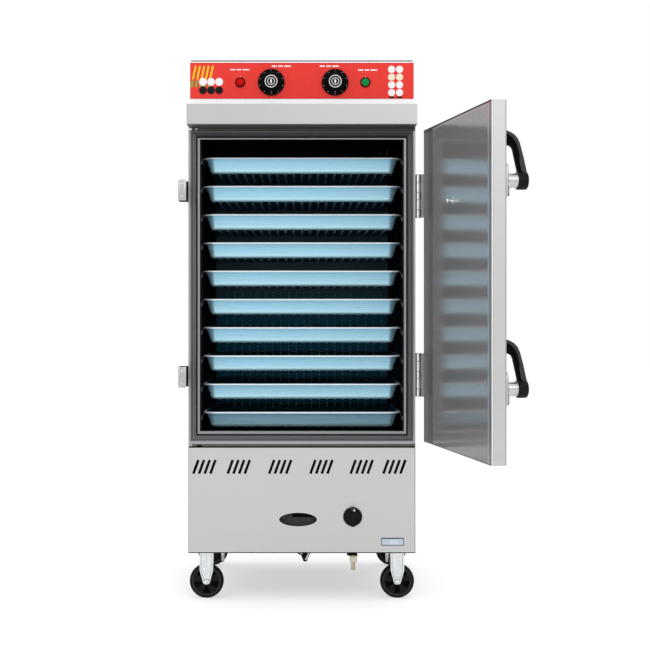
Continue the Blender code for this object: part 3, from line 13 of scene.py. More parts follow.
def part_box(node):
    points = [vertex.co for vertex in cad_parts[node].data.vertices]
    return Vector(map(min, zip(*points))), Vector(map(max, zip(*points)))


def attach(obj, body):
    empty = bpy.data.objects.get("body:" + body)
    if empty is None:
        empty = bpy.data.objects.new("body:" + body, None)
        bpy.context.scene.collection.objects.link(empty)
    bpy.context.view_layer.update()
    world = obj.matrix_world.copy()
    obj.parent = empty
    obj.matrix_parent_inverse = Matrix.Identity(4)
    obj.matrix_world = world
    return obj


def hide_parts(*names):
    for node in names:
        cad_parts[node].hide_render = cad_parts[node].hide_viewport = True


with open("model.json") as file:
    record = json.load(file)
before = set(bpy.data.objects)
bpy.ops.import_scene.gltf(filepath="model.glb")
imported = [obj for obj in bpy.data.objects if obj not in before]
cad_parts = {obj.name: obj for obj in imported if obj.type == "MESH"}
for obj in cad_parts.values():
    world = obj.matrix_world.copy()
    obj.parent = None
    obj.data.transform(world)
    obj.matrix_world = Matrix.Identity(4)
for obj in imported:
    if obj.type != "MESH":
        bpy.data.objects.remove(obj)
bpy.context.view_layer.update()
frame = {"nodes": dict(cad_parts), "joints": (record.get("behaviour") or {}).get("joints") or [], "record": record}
NODES = frame["nodes"]
BODY_OF = {node: body for body, nodes in frame["record"]["behaviour"]["bodies"].items() for node in nodes}

# Places read from the frame
PANEL_LOW, PANEL_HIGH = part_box("base_front_panel")
FRAME_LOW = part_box("front_frame")[0]
GASKET_LOW, GASKET_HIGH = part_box("frame_gasket")
HOOD_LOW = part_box("top_hood")[0]
CONTROL_LOW, CONTROL_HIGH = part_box("control_box")
FASCIA_LOW, FASCIA_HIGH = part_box("control_panel")
FRONT_Y = PANEL_LOW.y
HALF_WIDTH = PANEL_HIGH.x
TRAYS = 10
TRAY_LOW, TRAY_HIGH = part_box("tray_01")
TRAY_HEIGHT = TRAY_HIGH.z - TRAY_LOW.z
TRAY_PITCH = TRAY_LOW.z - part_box("tray_02")[0].z

# The photograph's camera: a level view from in front, a little off the middle
PHOTO_SIZE = 650
CAMERA_SIDE, CAMERA_DISTANCE, EYE_HEIGHT = 0.0018, 4.300, 0.8855
CAMERA_PLACE = (CAMERA_SIDE, FRONT_Y - CAMERA_DISTANCE, EYE_HEIGHT)
FOCAL_PIXELS = 1436
HORIZON_PIXEL = 305
VANISHING_PIXEL = 302.5
SENSOR = 36.0

# Studio: each lamp's name, place, side and power
LAMP_TARGET = (0, 0, 0.8)
LAMPS = (
    ("key", (1.2, -4.2, 3.1), 3.0, 20),
    ("fill", (-2.9, -3.4, 3.0), 2.6, 16),
    ("top", (0, 0.2, 4.0), 2.6, 26),
)
WHITE = (1, 1, 1, 1)
WORLD_LIGHT = 0.94
WORLD_SHINE = 0.92
WORLD_SEEN = 1.0
FLOOR_SIDE = 30
FLOOR_SEEN = 0.62
FLOOR_GLOW = 0.50
FLOOR_BOUNCE = 0.90


def set_camera():
    bpy.ops.object.camera_add(location=CAMERA_PLACE, rotation=(math.radians(90), 0, 0))
    camera = bpy.context.object
    camera.data.sensor_width = SENSOR
    camera.data.lens = FOCAL_PIXELS * SENSOR / PHOTO_SIZE
    camera.data.shift_x = (PHOTO_SIZE / 2 - VANISHING_PIXEL) / PHOTO_SIZE
    camera.data.shift_y = (HORIZON_PIXEL - PHOTO_SIZE / 2) / PHOTO_SIZE
    bpy.context.scene.camera = camera


def add_lamp(name, place, side, power):
    """A square lamp that looks at the middle of the cabinet."""
    bpy.ops.object.light_add(type="AREA", location=place)
    lamp = bpy.context.object
    lamp.name = name
    lamp.data.shape = "RECTANGLE"
    lamp.data.size = lamp.data.size_y = side
    lamp.data.energy = power
    lamp.rotation_euler = (Vector(LAMP_TARGET) - Vector(place)).to_track_quat("-Z", "Y").to_euler()


def white_background(nodes, strength):
    background = nodes.new("ShaderNodeBackground")
    background.inputs["Color"].default_value = WHITE
    background.inputs["Strength"].default_value = strength
    return background


def set_world():
    """An even studio: white to the camera, and a little dimmer as light and in reflections."""
    world = bpy.data.worlds.new("studio")
    bpy.context.scene.world = world
    world.use_nodes = True
    nodes, links = world.node_tree.nodes, world.node_tree.links
    nodes.clear()
    out = nodes.new("ShaderNodeOutputWorld")
    path = nodes.new("ShaderNodeLightPath")
    light, shine, seen = (white_background(nodes, level) for level in (WORLD_LIGHT, WORLD_SHINE, WORLD_SEEN))
    glossy = nodes.new("ShaderNodeMixShader")
    camera = nodes.new("ShaderNodeMixShader")
    links.new(path.outputs["Is Glossy Ray"], glossy.inputs["Fac"])
    links.new(light.outputs[0], glossy.inputs[1])
    links.new(shine.outputs[0], glossy.inputs[2])
    links.new(path.outputs["Is Camera Ray"], camera.inputs["Fac"])
    links.new(glossy.outputs[0], camera.inputs[1])
    links.new(seen.outputs[0], camera.inputs[2])
    links.new(camera.outputs[0], out.inputs["Surface"])


def matt_surface(nodes, tone):
    matt = nodes.new("ShaderNodeBsdfDiffuse")
    matt.inputs["Color"].default_value = (tone, tone, tone, 1)
    return matt


def set_floor():
    """A pale floor that keeps the shadow and meets the white background."""
    bpy.ops.mesh.primitive_plane_add(size=FLOOR_SIDE, location=(0, 0, 0))
    floor = bpy.context.object
    floor.name = "studio_floor"
    material = bpy.data.materials.new("studio_floor")
    material.use_nodes = True
    nodes, links = material.node_tree.nodes, material.node_tree.links
    nodes.clear()
    out = nodes.new("ShaderNodeOutputMaterial")
    seen, bounce = matt_surface(nodes, FLOOR_SEEN), matt_surface(nodes, FLOOR_BOUNCE)
    glow = nodes.new("ShaderNodeEmission")
    glow.inputs["Color"].default_value = WHITE
    glow.inputs["Strength"].default_value = FLOOR_GLOW
    both = nodes.new("ShaderNodeAddShader")
    path = nodes.new("ShaderNodeLightPath")
    choice = nodes.new("ShaderNodeMixShader")
    links.new(seen.outputs[0], both.inputs[0])
    links.new(glow.outputs[0], both.inputs[1])
    links.new(path.outputs["Is Camera Ray"], choice.inputs["Fac"])
    links.new(bounce.outputs[0], choice.inputs[1])
    links.new(both.outputs[0], choice.inputs[2])
    links.new(choice.outputs[0], out.inputs["Surface"])
    floor.data.materials.append(material)


def set_studio():
    set_world()
    set_floor()
    for lamp in LAMPS:
        add_lamp(*lamp)
    set_camera()
    bpy.context.scene.view_settings.view_transform = "Standard"


# Finishes
NOISE_LOW, NOISE_HIGH = 0.3, 0.7
LINES_ACROSS, LINES_ALONG = 900, 3
LINE_DEPTH = 0.0001
GRAIN_DEPTH = 0.0002


class Finish:
    """A procedural finish in the making: a Principled surface and the nodes that feed it."""

    def __init__(self, name, colour, roughness, metallic=0.0):
        self.material = bpy.data.materials.new(name)
        self.material.use_nodes = True
        self.material.diffuse_color = (*colour, 1)
        self.nodes = self.material.node_tree.nodes
        self.links = self.material.node_tree.links
        self.surface = self.nodes["Principled BSDF"]
        self.surface.inputs["Base Color"].default_value = (*colour, 1)
        self.surface.inputs["Roughness"].default_value = roughness
        self.surface.inputs["Metallic"].default_value = metallic
        self.colour = colour
        place = self.nodes.new("ShaderNodeTexCoord")
        self.place = place.outputs["Object"]

    def noise(self, stretch, detail=3):
        """Noise on the piece's own coordinates, stretched along an axis where the number is small."""
        mapping = self.nodes.new("ShaderNodeMapping")
        mapping.inputs["Scale"].default_value = stretch
        self.links.new(self.place, mapping.inputs["Vector"])
        noise = self.nodes.new("ShaderNodeTexNoise")
        noise.inputs["Scale"].default_value = 1
        noise.inputs["Detail"].default_value = detail
        self.links.new(mapping.outputs["Vector"], noise.inputs["Vector"])
        return noise.outputs["Fac"]

    def spread(self, value, low, high):
        """A value of noise stretched to run from low to high."""
        step = self.nodes.new("ShaderNodeMapRange")
        step.inputs["From Min"].default_value = NOISE_LOW
        step.inputs["From Max"].default_value = NOISE_HIGH
        step.inputs["To Min"].default_value = low
        step.inputs["To Max"].default_value = high
        self.links.new(value, step.inputs["Value"])
        return step.outputs["Result"]

    def tint(self, value, tones):
        """Colours the surface by a value, through pairs of a place from 0 to 1 and a tone."""
        ramp = self.nodes.new("ShaderNodeValToRGB")
        for _ in tones[2:]:
            ramp.color_ramp.elements.new(0.5)
        for element, (place, tone) in zip(ramp.color_ramp.elements, tones):
            element.position = place
            element.color = (*tone, 1)
        self.links.new(value, ramp.inputs["Fac"])
        self.links.new(ramp.outputs["Color"], self.surface.inputs["Base Color"])
        return self

    def height_up(self):
        """How high a point is, in the frame's metres."""
        parts = self.nodes.new("ShaderNodeSeparateXYZ")
        self.links.new(self.place, parts.inputs[0])
        return parts.outputs["Z"]

    def shade(self, value, by):
        """Varies the colour evenly, darker and lighter by a share."""
        dark = tuple(c * (1 - by) for c in self.colour)
        light = tuple(min(1, c * (1 + by)) for c in self.colour)
        return self.tint(value, ((NOISE_LOW, dark), (NOISE_HIGH, light)))

    def roughen(self, value, low, high):
        self.links.new(self.spread(value, low, high), self.surface.inputs["Roughness"])
        return self

    def bump(self, value, strength, distance):
        node = self.nodes.new("ShaderNodeBump")
        node.inputs["Strength"].default_value = strength
        node.inputs["Distance"].default_value = distance
        self.links.new(value, node.inputs["Height"])
        self.links.new(node.outputs["Normal"], self.surface.inputs["Normal"])
        return self


FINISHES = {}

# Tones of the trays' film by share of their height, lighter towards the foot: painted light where the bend at the
# foot catches the light
TRAY_TONES = (
    (0.00, (0.50, 0.81, 0.91)), (0.14, (0.51, 0.82, 0.92)), (0.26, (0.47, 0.78, 0.90)),
    (0.34, (0.40, 0.71, 0.88)), (0.60, (0.36, 0.67, 0.84)), (0.88, (0.30, 0.60, 0.78)),
)


def brushed(name, colour, low, high, across, by=0.03, bump=0.05, metallic=1.0):
    """Brushed steel whose fine lines vary only along one axis."""
    finish = Finish(name, colour, low, metallic)
    lines = finish.noise(tuple(LINES_ACROSS if axis == across else LINES_ALONG for axis in "xyz"))
    finish.shade(lines, by).roughen(lines, low, high).bump(lines, bump, LINE_DEPTH)
    FINISHES[name] = finish.material


def moulded(name, colour, roughness, grain=400, bump=0.05, shine=0.5):
    """Plastic, rubber or print with a faint grain."""
    finish = Finish(name, colour, roughness)
    finish.surface.inputs["Specular IOR Level"].default_value = shine
    specks = finish.noise((grain, grain, grain))
    finish.shade(specks, 0.06).roughen(specks, roughness * 0.9, roughness * 1.15)
    finish.bump(specks, bump, GRAIN_DEPTH)
    FINISHES[name] = finish.material


def plated(name, colour, low, high, cells=160):
    """Zinc or nickel plate with a faint uneven spangle."""
    finish = Finish(name, colour, low, 1.0)
    clouds = finish.noise((cells, cells, cells), detail=2)
    finish.shade(clouds, 0.07).roughen(clouds, low, high)
    FINISHES[name] = finish.material


def sheen_banded(name, middle, side):
    """Polished steel painted bright where it faces the view and in a second tone towards a round bar's sides:
    painted highlight and reflection.
    """
    finish = Finish(name, middle, 0.12, 1.0)
    weight = finish.nodes.new("ShaderNodeLayerWeight")
    finish.tint(weight.outputs["Facing"], ((0.10, middle), (0.20, side)))
    finish.roughen(finish.noise((160, 160, 160)), 0.08, 0.18)
    FINISHES[name] = finish.material


def toned_by_height(name, low, high, middle, reach, roughness):
    """Dulled steel that passes from one tone to another over a height."""
    finish = Finish(name, high, roughness, 0.8)
    step = finish.nodes.new("ShaderNodeMapRange")
    step.inputs["From Min"].default_value = middle - reach
    step.inputs["From Max"].default_value = middle + reach
    finish.links.new(finish.height_up(), step.inputs["Value"])
    finish.tint(step.outputs["Result"], ((NOISE_LOW, low), (NOISE_HIGH, high)))
    lines = finish.noise((4, 4, 700))
    finish.roughen(lines, roughness, roughness + 0.12).bump(lines, 0.04, LINE_DEPTH)
    FINISHES[name] = finish.material


def tray_film():
    """Blue film on brushed steel, in tones that climb from each tray's foot to its rim: lighter at the foot as
    painted light on the bend, darker towards the rim.
    """
    finish = Finish("tray_film", TRAY_TONES[1][1], 0.30, 0.55)
    lines = finish.noise((8, 8, 500))
    value = finish.height_up()
    for kind, operand in (
        ("SUBTRACT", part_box("tray_10")[0].z), ("DIVIDE", TRAY_PITCH),
        ("FRACT", 0), ("MULTIPLY", TRAY_PITCH / TRAY_HEIGHT),
    ):
        step = finish.nodes.new("ShaderNodeMath")
        step.operation = kind
        step.inputs[1].default_value = operand
        finish.links.new(value, step.inputs[0])
        value = step.outputs[0]
    finish.tint(value, TRAY_TONES)
    finish.roughen(lines, 0.26, 0.38).bump(lines, 0.04, LINE_DEPTH)
    FINISHES["tray_film"] = finish.material


def make_finishes():
    brushed("brushed_sheet", (0.62, 0.62, 0.61), 0.30, 0.42, "z")
    brushed("brushed_roof", (0.53, 0.53, 0.525), 0.30, 0.42, "y")
    brushed("frame_sheet", (0.44, 0.43, 0.44), 0.30, 0.42, "z")
    brushed("bright_strip", (0.44, 0.42, 0.43), 0.26, 0.36, "z", metallic=0.7)
    brushed("strip_grey", (0.33, 0.315, 0.32), 0.26, 0.36, "z", metallic=0.7)
    brushed("pale_hem", (0.68, 0.68, 0.67), 0.30, 0.40, "z", metallic=0.9)
    brushed("pale_sheet", (0.97, 0.98, 1.0), 0.34, 0.44, "z", by=0.01, metallic=0.15)
    brushed("keeper_sheet", (0.52, 0.52, 0.52), 0.24, 0.36, "z")
    brushed("door_inside", (0.335, 0.318, 0.318), 0.13, 0.17, "z", by=0.03, bump=0.02, metallic=0.45)
    brushed("fold_highlight_sheet", (0.50, 0.49, 0.49), 0.26, 0.36, "x", metallic=0.6)
    brushed("fold_shade_sheet", (0.27, 0.26, 0.26), 0.26, 0.36, "x", metallic=0.6)
    brushed("rim_grey", (0.34, 0.33, 0.33), 0.26, 0.36, "x", metallic=0.6)
    brushed("hinge_reflection_dark", (0.115, 0.115, 0.12), 0.30, 0.40, "x", metallic=0.4)
    # Near-black steel for the chamber and the racks: painted shade inside the chamber
    brushed("chamber_shade_sheet", (0.014, 0.014, 0.015), 0.40, 0.55, "z")
    brushed("rack_shade_sheet", (0.020, 0.020, 0.021), 0.40, 0.55, "z")
    brushed("dull_sheet", (0.22, 0.22, 0.22), 0.40, 0.55, "y")
    # Tray finishes: the inside and the floor darker as painted shade, the rim and the collars round the holes
    # lighter as painted highlights
    brushed("tray_floor", (0.02, 0.09, 0.14), 0.30, 0.42, "y")
    brushed("tray_inside", (0.05, 0.26, 0.38), 0.30, 0.42, "z", metallic=0.8)
    brushed("tray_rim", (0.90, 0.95, 0.98), 0.26, 0.36, "z", metallic=0.3)
    brushed("tray_lip", (0.11, 0.30, 0.40), 0.30, 0.40, "z", metallic=0.4)
    # Bright teal metal for the dots painted as glints
    plated("glint_dot", (0.50, 0.82, 0.92), 0.28, 0.38)
    # The chamber's back sheet: teal low down, greyer higher up
    toned_by_height("back_sheet", (0.010, 0.13, 0.22), (0.07, 0.125, 0.14), 0.92, 0.06, 0.32)
    sheen_banded("barrel_dark", (0.95, 0.95, 0.96), (0.012, 0.012, 0.013))
    sheen_banded("barrel_grey", (0.92, 0.92, 0.93), (0.30, 0.29, 0.29))
    plated("zinc_plate", (0.82, 0.85, 0.86), 0.24, 0.34, cells=90)
    plated("zinc_highlight", (0.90, 0.93, 0.94), 0.30, 0.40, cells=90)
    plated("zinc_shade", (0.20, 0.21, 0.22), 0.30, 0.40, cells=90)
    plated("latch_zinc", (0.56, 0.55, 0.55), 0.26, 0.36, cells=90)
    plated("bright_steel", (0.72, 0.72, 0.71), 0.12, 0.20)
    plated("post_steel", (0.62, 0.60, 0.60), 0.14, 0.22)
    plated("white_steel", (0.92, 0.92, 0.92), 0.16, 0.26)
    plated("polished_steel", (0.75, 0.73, 0.72), 0.06, 0.12)
    plated("nickel_plate", (0.66, 0.62, 0.52), 0.18, 0.30)
    plated("brass", (0.50, 0.40, 0.20), 0.20, 0.34)
    plated("tail_brass", (0.78, 0.68, 0.50), 0.20, 0.34)
    moulded("black_gloss", (0.0022, 0.0034, 0.0038), 0.26, bump=0.02, shine=0.03)
    moulded("black_satin", (0.004, 0.004, 0.005), 0.34, shine=0.14)
    moulded("flange_lit_black", (0.020, 0.019, 0.022), 0.30, shine=0.45)
    moulded("tyre_rubber", (0.0035, 0.0035, 0.004), 0.46, shine=0.10)
    moulded("wheel_plastic", (0.006, 0.0065, 0.0075), 0.36, shine=0.14)
    moulded("wheel_rim_sheen", (0.010, 0.0105, 0.0115), 0.30, shine=0.28)
    moulded("gasket_rubber", (0.060, 0.056, 0.061), 0.38, shine=0.35)
    moulded("gasket_lit_side", (0.120, 0.115, 0.125), 0.38, shine=0.5)
    moulded("gasket_edge_sheen", (0.135, 0.130, 0.140), 0.38, shine=0.5)
    # Black for the tongue and the drain's parts, and painted shade inside the keepers
    moulded("tongue_black", (0.006, 0.006, 0.006), 0.50, shine=0.1)
    moulded("ring_pale", (0.92, 0.90, 0.88), 0.35, shine=0.8)
    moulded("ridge_highlight", (0.080, 0.078, 0.084), 0.30, shine=0.5)
    moulded("print_grey", (0.42, 0.43, 0.43), 0.50, shine=0.1)
    moulded("fascia_red", (0.84, 0.048, 0.038), 0.40, grain=250, bump=0.01, shine=0.12)
    moulded("white_print", (0.90, 0.90, 0.90), 0.45)
    moulded("label_white", (0.52, 0.60, 0.70), 0.40)
    moulded("print_white", (0.93, 0.93, 0.93), 0.55, shine=0.1)
    moulded("label_pale", (0.60, 0.68, 0.77), 0.40)
    moulded("window_shadow_slate", (0.07, 0.09, 0.12), 0.50, shine=0.2)
    moulded("dark_red", (0.66, 0.020, 0.016), 0.40, shine=0.15)
    moulded("print_black", (0.010, 0.010, 0.011), 0.50, shine=0.1)
    moulded("print_yellow", (0.86, 0.56, 0.03), 0.50, shine=0.1)
    moulded("print_green", (0.16, 0.46, 0.07), 0.50, shine=0.1)
    moulded("print_cream", (0.90, 0.82, 0.62), 0.50, shine=0.1)
    moulded("lamp_red", (0.58, 0.0, 0.0), 0.16, bump=0.0, shine=0.08)
    moulded("lamp_green", (0.0, 0.27, 0.060), 0.16, bump=0.0, shine=0.08)
    # Near-black: painted shade in hollows and recesses, round the doorway, under the base and behind the sight
    # hole, and the black seams at the frame's foot
    moulded("hollow_black", (0.002, 0.002, 0.002), 0.60, shine=0.05)
    moulded("seam_and_shade_dark", (0.030, 0.028, 0.028), 0.55, shine=0.2)
    moulded("seam_and_shade_olive", (0.105, 0.098, 0.088), 0.50, shine=0.3)
    moulded("seam_grey", (0.16, 0.15, 0.15), 0.50, shine=0.3)
    moulded("runner_grey", (0.13, 0.12, 0.12), 0.45, shine=0.4)
    moulded("sight_shade_backing", (0.058, 0.062, 0.062), 0.60, shine=0.2)
    moulded("mineral_wool", (0.55, 0.50, 0.36), 0.95, grain=900, bump=0.8)
    tray_film()


CAD_LOOKS = {
    "brushed_sheet": (
        "outer_shell", "base_front_panel", "door_outer_shell", "hinge_frame_leaf_upper",
        "hinge_frame_leaf_lower", "hinge_door_leaf_upper", "hinge_door_leaf_lower",
    ),
    "frame_sheet": ("front_frame",),
    "pale_sheet": ("control_box",),
    "rack_shade_sheet": ("rack_left", "rack_right"),
    "keeper_sheet": ("keeper_upper", "keeper_lower"),
    "brushed_roof": ("top_hood",),
    "door_inside": ("door_inner_panel",),
    "chamber_shade_sheet": ("chamber_liner", "water_tank"),
    "dull_sheet": ("base_pan", "control_chassis", "heating_element", "gas_burner", "drain_valve"),
    "zinc_plate": (
        "latch_base_upper", "latch_base_lower", "latch_cam_upper", "latch_cam_lower", "front_fork_left",
        "front_fork_right", "rear_plate_left", "rear_plate_right", "rear_fork_left", "rear_fork_right",
    ),
    "brass": ("gas_valve", "gas_inlet"),
    "tray_film": tuple(f"tray_{place:02d}" for place in range(1, TRAYS + 1)),
    "black_gloss": (
        "temperature_dial", "timer_dial", "gas_knob", "latch_lever_upper", "latch_lever_lower", "drain_lever",
    ),
    "tyre_rubber": ("wheel_front_left", "wheel_front_right", "wheel_rear_left", "wheel_rear_right"),
    "gasket_rubber": ("frame_gasket",),
    "mineral_wool": ("chamber_insulation", "door_insulation"),
    "fascia_red": ("control_panel", "power_lamp", "heating_lamp"),
}


def paint(obj, look):
    obj.data.materials.clear()
    obj.data.materials.append(FINISHES[look])
    return obj


def paint_nodes():
    for look, names in CAD_LOOKS.items():
        for name in names:
            paint(NODES[name], look)


# Modelling by hand: each helper starts from a primitive at its size and place
def alone(obj):
    bpy.ops.object.select_all(action="DESELECT")
    obj.select_set(True)
    bpy.context.view_layer.objects.active = obj


def settle(name, look, size=None):
    """Names the object just added, puts its place and size into its mesh and gives it a finish."""
    obj = bpy.context.object
    alone(obj)
    if size:
        obj.scale = size
    obj.name = obj.data.name = name
    bpy.ops.object.transform_apply(location=True, rotation=True, scale=True)
    return paint(obj, look)


def block(name, low, high, look, bevel=0.0, segments=2):
    bpy.ops.object.select_all(action="DESELECT")
    low, high = Vector(low), Vector(high)
    bpy.ops.mesh.primitive_cube_add(size=1, location=(low + high) / 2)
    obj = settle(name, look, high - low)
    if bevel:
        soften(obj, bevel, segments)
    return obj


def soften(obj, width, segments=2):
    """Rounds every sharp edge."""
    alone(obj)
    modifier = obj.modifiers.new("edges", "BEVEL")
    modifier.width = width
    modifier.segments = segments
    modifier.limit_method = "ANGLE"
    bpy.ops.object.modifier_apply(modifier=modifier.name)
    return round_off(obj)


def round_off(obj, angle=35):
    alone(obj)
    bpy.ops.object.shade_smooth_by_angle(angle=math.radians(angle))
    return obj


FACINGS = {"up": (0, 0, 0), "front": (math.radians(90), 0, 0), "right": (0, math.radians(90), 0)}
TOUCHING = 1e-6


def turned(name, profile, place, look, facing="up", sides=48):
    """A disc drawn out ring by ring along its axis: profile is (radius, height) from end to end."""
    bpy.ops.object.select_all(action="DESELECT")
    (radius, height), *rest = profile
    bpy.ops.mesh.primitive_circle_add(vertices=sides, radius=radius, fill_type="NGON", location=(0, 0, 0))
    obj = bpy.context.object
    bpy.ops.object.mode_set(mode="EDIT")
    bpy.ops.mesh.select_all(action="SELECT")
    bpy.ops.transform.translate(value=(0, 0, height))
    for next_radius, next_height in rest:
        rise = {"value": (0, 0, next_height - height)}
        bpy.ops.mesh.extrude_region_move(TRANSFORM_OT_translate=rise)
        share = next_radius / radius
        bpy.ops.transform.resize(value=(share, share, 1), center_override=(0, 0, next_height))
        radius, height = next_radius, next_height
    bpy.ops.mesh.select_all(action="SELECT")
    bpy.ops.mesh.normals_make_consistent(inside=False)
    bpy.ops.object.mode_set(mode="OBJECT")
    obj.location = place
    obj.rotation_euler = FACINGS[facing]
    return round_off(settle(name, look))


def joined(name, *objs):
    """One object from several."""
    bpy.ops.object.select_all(action="DESELECT")
    for obj in objs:
        obj.select_set(True)
    bpy.context.view_layer.objects.active = objs[0]
    bpy.ops.object.join()
    objs[0].name = objs[0].data.name = name
    return objs[0]


def copied(obj, name, move):
    """A copy with its own mesh, moved."""
    alone(obj)
    bpy.ops.object.duplicate(linked=False)
    copy = bpy.context.object
    copy.name = copy.data.name = name
    copy.location += Vector(move)
    alone(copy)
    bpy.ops.object.transform_apply(location=True, rotation=True, scale=True)
    return copy


def opened(obj):
    """Starts editing obj with everything selected."""
    alone(obj)
    bpy.ops.object.mode_set(mode="EDIT")
    bpy.ops.mesh.select_all(action="SELECT")


def closed():
    bpy.ops.mesh.select_all(action="SELECT")
    bpy.ops.mesh.normals_make_consistent(inside=False)
    bpy.ops.object.mode_set(mode="OBJECT")


def pick(kind, chosen):
    """Selects the faces, edges or vertices of the edited object whose middle passes a test."""
    obj = bpy.context.object
    bpy.ops.mesh.select_all(action="DESELECT")
    bpy.ops.mesh.select_mode(type=kind)
    bpy.ops.object.mode_set(mode="OBJECT")
    verts = obj.data.vertices
    for item in {"VERT": verts, "EDGE": obj.data.edges, "FACE": obj.data.polygons}[kind]:
        corners = [item.co] if kind == "VERT" else [verts[i].co for i in item.vertices]
        item.select = chosen(sum(corners, Vector()) / len(corners))
    bpy.ops.object.mode_set(mode="EDIT")


def cut_with(obj, cutter):
    """Takes the cutter's shape out of obj."""
    alone(obj)
    modifier = obj.modifiers.new("cut", "BOOLEAN")
    modifier.object = cutter
    modifier.solver = "EXACT"
    bpy.ops.object.modifier_apply(modifier=modifier.name)
    bpy.data.objects.remove(cutter)
    return obj


def stand_for(obj, node):
    """The piece is seen in place of a CAD node and moves with its body."""
    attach(obj, BODY_OF[node])
    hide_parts(node)


def trim_on(obj, body):
    """A piece that is seen beside the CAD nodes."""
    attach(obj, body)


# Places on the door are given for it closed, and swung out with it
HINGE = next(joint for joint in frame["joints"] if joint["name"] == "door_hinge")
HINGE_PLACE = Vector(HINGE["pos_m"])
OPENING = Matrix.Rotation(math.radians(-HINGE["range_deg"][0]), 4, "Z")
SWING = Matrix.Translation(HINGE_PLACE) @ OPENING @ Matrix.Translation(-HINGE_PLACE)
DOOR_HALF = 0.334
DOOR_INNER_Y = -0.3335
DOOR_OUTER_Y = -0.3725
DOOR_LOW_Z, DOOR_HIGH_Z = (corner.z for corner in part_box("door_outer_shell"))


def placed(obj, matrix):
    """Moves a piece by a matrix and puts its new place into its mesh."""
    alone(obj)
    obj.matrix_world = matrix @ obj.matrix_world
    bpy.ops.object.transform_apply(location=True, rotation=True, scale=True)
    return obj


def swung(obj):
    return placed(obj, SWING)


def set_in(obj, across, up, origin):
    """Puts a piece drawn flat into its place: its x runs across, its y runs up."""
    across, up = Vector(across), Vector(up)
    turn = Matrix((across, up, across.cross(up))).transposed().to_4x4()
    return placed(obj, Matrix.Translation(origin) @ turn)


def corner_to(old, new):
    """Moves the edited flat piece's corner from one point to another."""
    old, new = Vector((*old, 0)), Vector((*new, 0))
    pick("VERT", lambda at: (at - old).length < TOUCHING)
    bpy.ops.transform.translate(value=new - old)


def strip(name, pairs, thickness, look):
    """A flat strip drawn rung by rung from a plane and made thick: each pair is a rung's two ends."""
    bpy.ops.object.select_all(action="DESELECT")
    bpy.ops.mesh.primitive_plane_add(size=2)
    obj = settle(name, look)
    opened(obj)
    (a, b), (c, d) = pairs[:2]
    for old, new in zip(((-1, -1), (1, -1), (1, 1), (-1, 1)), (a, b, d, c)):
        corner_to(old, new)
    for (a, b), (c, d) in zip(pairs[1:], pairs[2:]):
        middle = Vector(((a[0] + b[0]) / 2, (a[1] + b[1]) / 2, 0))
        pick("EDGE", lambda at: (at - middle).length < TOUCHING)
        step = (c[0] - a[0], c[1] - a[1])
        bpy.ops.mesh.extrude_region_move(TRANSFORM_OT_translate={"value": (*step, 0)})
        corner_to((b[0] + step[0], b[1] + step[1]), d)
    bpy.ops.mesh.select_all(action="SELECT")
    bpy.ops.mesh.extrude_region_move(TRANSFORM_OT_translate={"value": (0, 0, thickness)})
    closed()
    return obj


def paint_part(obj, look, chosen):
    """Gives some faces of a piece a second finish."""
    alone(obj)
    obj.data.materials.append(FINISHES[look])
    obj.active_material_index = len(obj.data.materials) - 1
    bpy.ops.object.mode_set(mode="EDIT")
    pick("FACE", chosen)
    bpy.ops.object.material_slot_assign()
    bpy.ops.object.mode_set(mode="OBJECT")
    return obj


# Trays: the rim's steps run inwards and downwards
TRAY_SHEET = 0.0010
TRAY_CORNER, CORNER_STEPS = 0.039, 8
TRAY_LIP = 0.0040
TRAY_RIM = ((0.0006, -0.0024), (0.0014, -0.0012), (0.0018, -0.0004), (0.0052, 0.0), (0.0010, 0.0008))
TRAY_BEND, BEND_STEPS = 0.0120, 5
TRAY_DRAFT = 0.0125
TRAY_FLOOR_RING = 0.0030
HOLE_COLUMNS, HOLE_ROWS = 21, 13
HOLE_WIDTH = 0.0078
HOLE_CORNER_SHARE = 0.29
HOLE_MIDDLE_SHARE, HOLE_REACH_SHARE = 0.02, 0.24
COLLAR_WIDTH, COLLAR_HEIGHT = 0.0013, 0.0024
HOLE_LIP = 0.0036
FLOOR_UNDERSIDE, FLOOR_TOP, COLLAR_TOP = 0.0004, 0.0015, 0.0060
FLOOR_SLACK = 0.001
RIM_UNDERSIDE = 0.0008
TRAY_SMOOTH_ANGLE = 40

# Small bright dots painted as glints: rows on each tray's back wall, and a grid on the chamber's back
DOT_PROFILE = ((0.0017, 0), (0.0017, 0.0006), (0.0010, 0.0010))
DOT_SIDES = 8
DOT_SEAT = 0.0002
BACK_WALL_Y = 0.0921
BACK_WALL_LEAN_SHARE = 0.51
TRAY_DOTS_MIDDLE, TRAY_DOTS_EACH_WAY, TRAY_DOTS_PITCH = 0.0068, 9, 0.02538
TRAY_DOTS_DROPS = (0.0035, 0.0098)
SHEET_Y, SHEET_THICKNESS, SHEET_EDGE = 0.2330, 0.0012, 0.0004
SHEET_HALF, SHEET_BOTTOM, SHEET_TOP = 0.2900, 0.5300, 1.3600
SHEET_DOTS_MIDDLE, SHEET_DOTS_EACH_WAY, SHEET_DOTS_PITCH = 0.0069, 10, 0.02608
SHEET_DOTS_LOW, SHEET_DOTS_HIGH, SHEET_ROWS_PITCH = 0.5560, 0.9280, 0.0106


def tray_insets(height):
    """Steps inwards and downwards: the rolled edge, the rim, the leaning wall and the bend to the floor."""
    yield from TRAY_RIM
    wall = height - TRAY_SHEET - TRAY_BEND - TRAY_RIM[-1][1]
    yield TRAY_DRAFT, wall
    was_in = was_down = 0
    for step in range(1, BEND_STEPS + 1):
        angle = math.radians(90) * step / BEND_STEPS
        inward, down = TRAY_BEND * (1 - math.cos(angle)), TRAY_BEND * math.sin(angle)
        yield inward - was_in, down - was_down
        was_in, was_down = inward, down
    yield TRAY_FLOOR_RING, 0


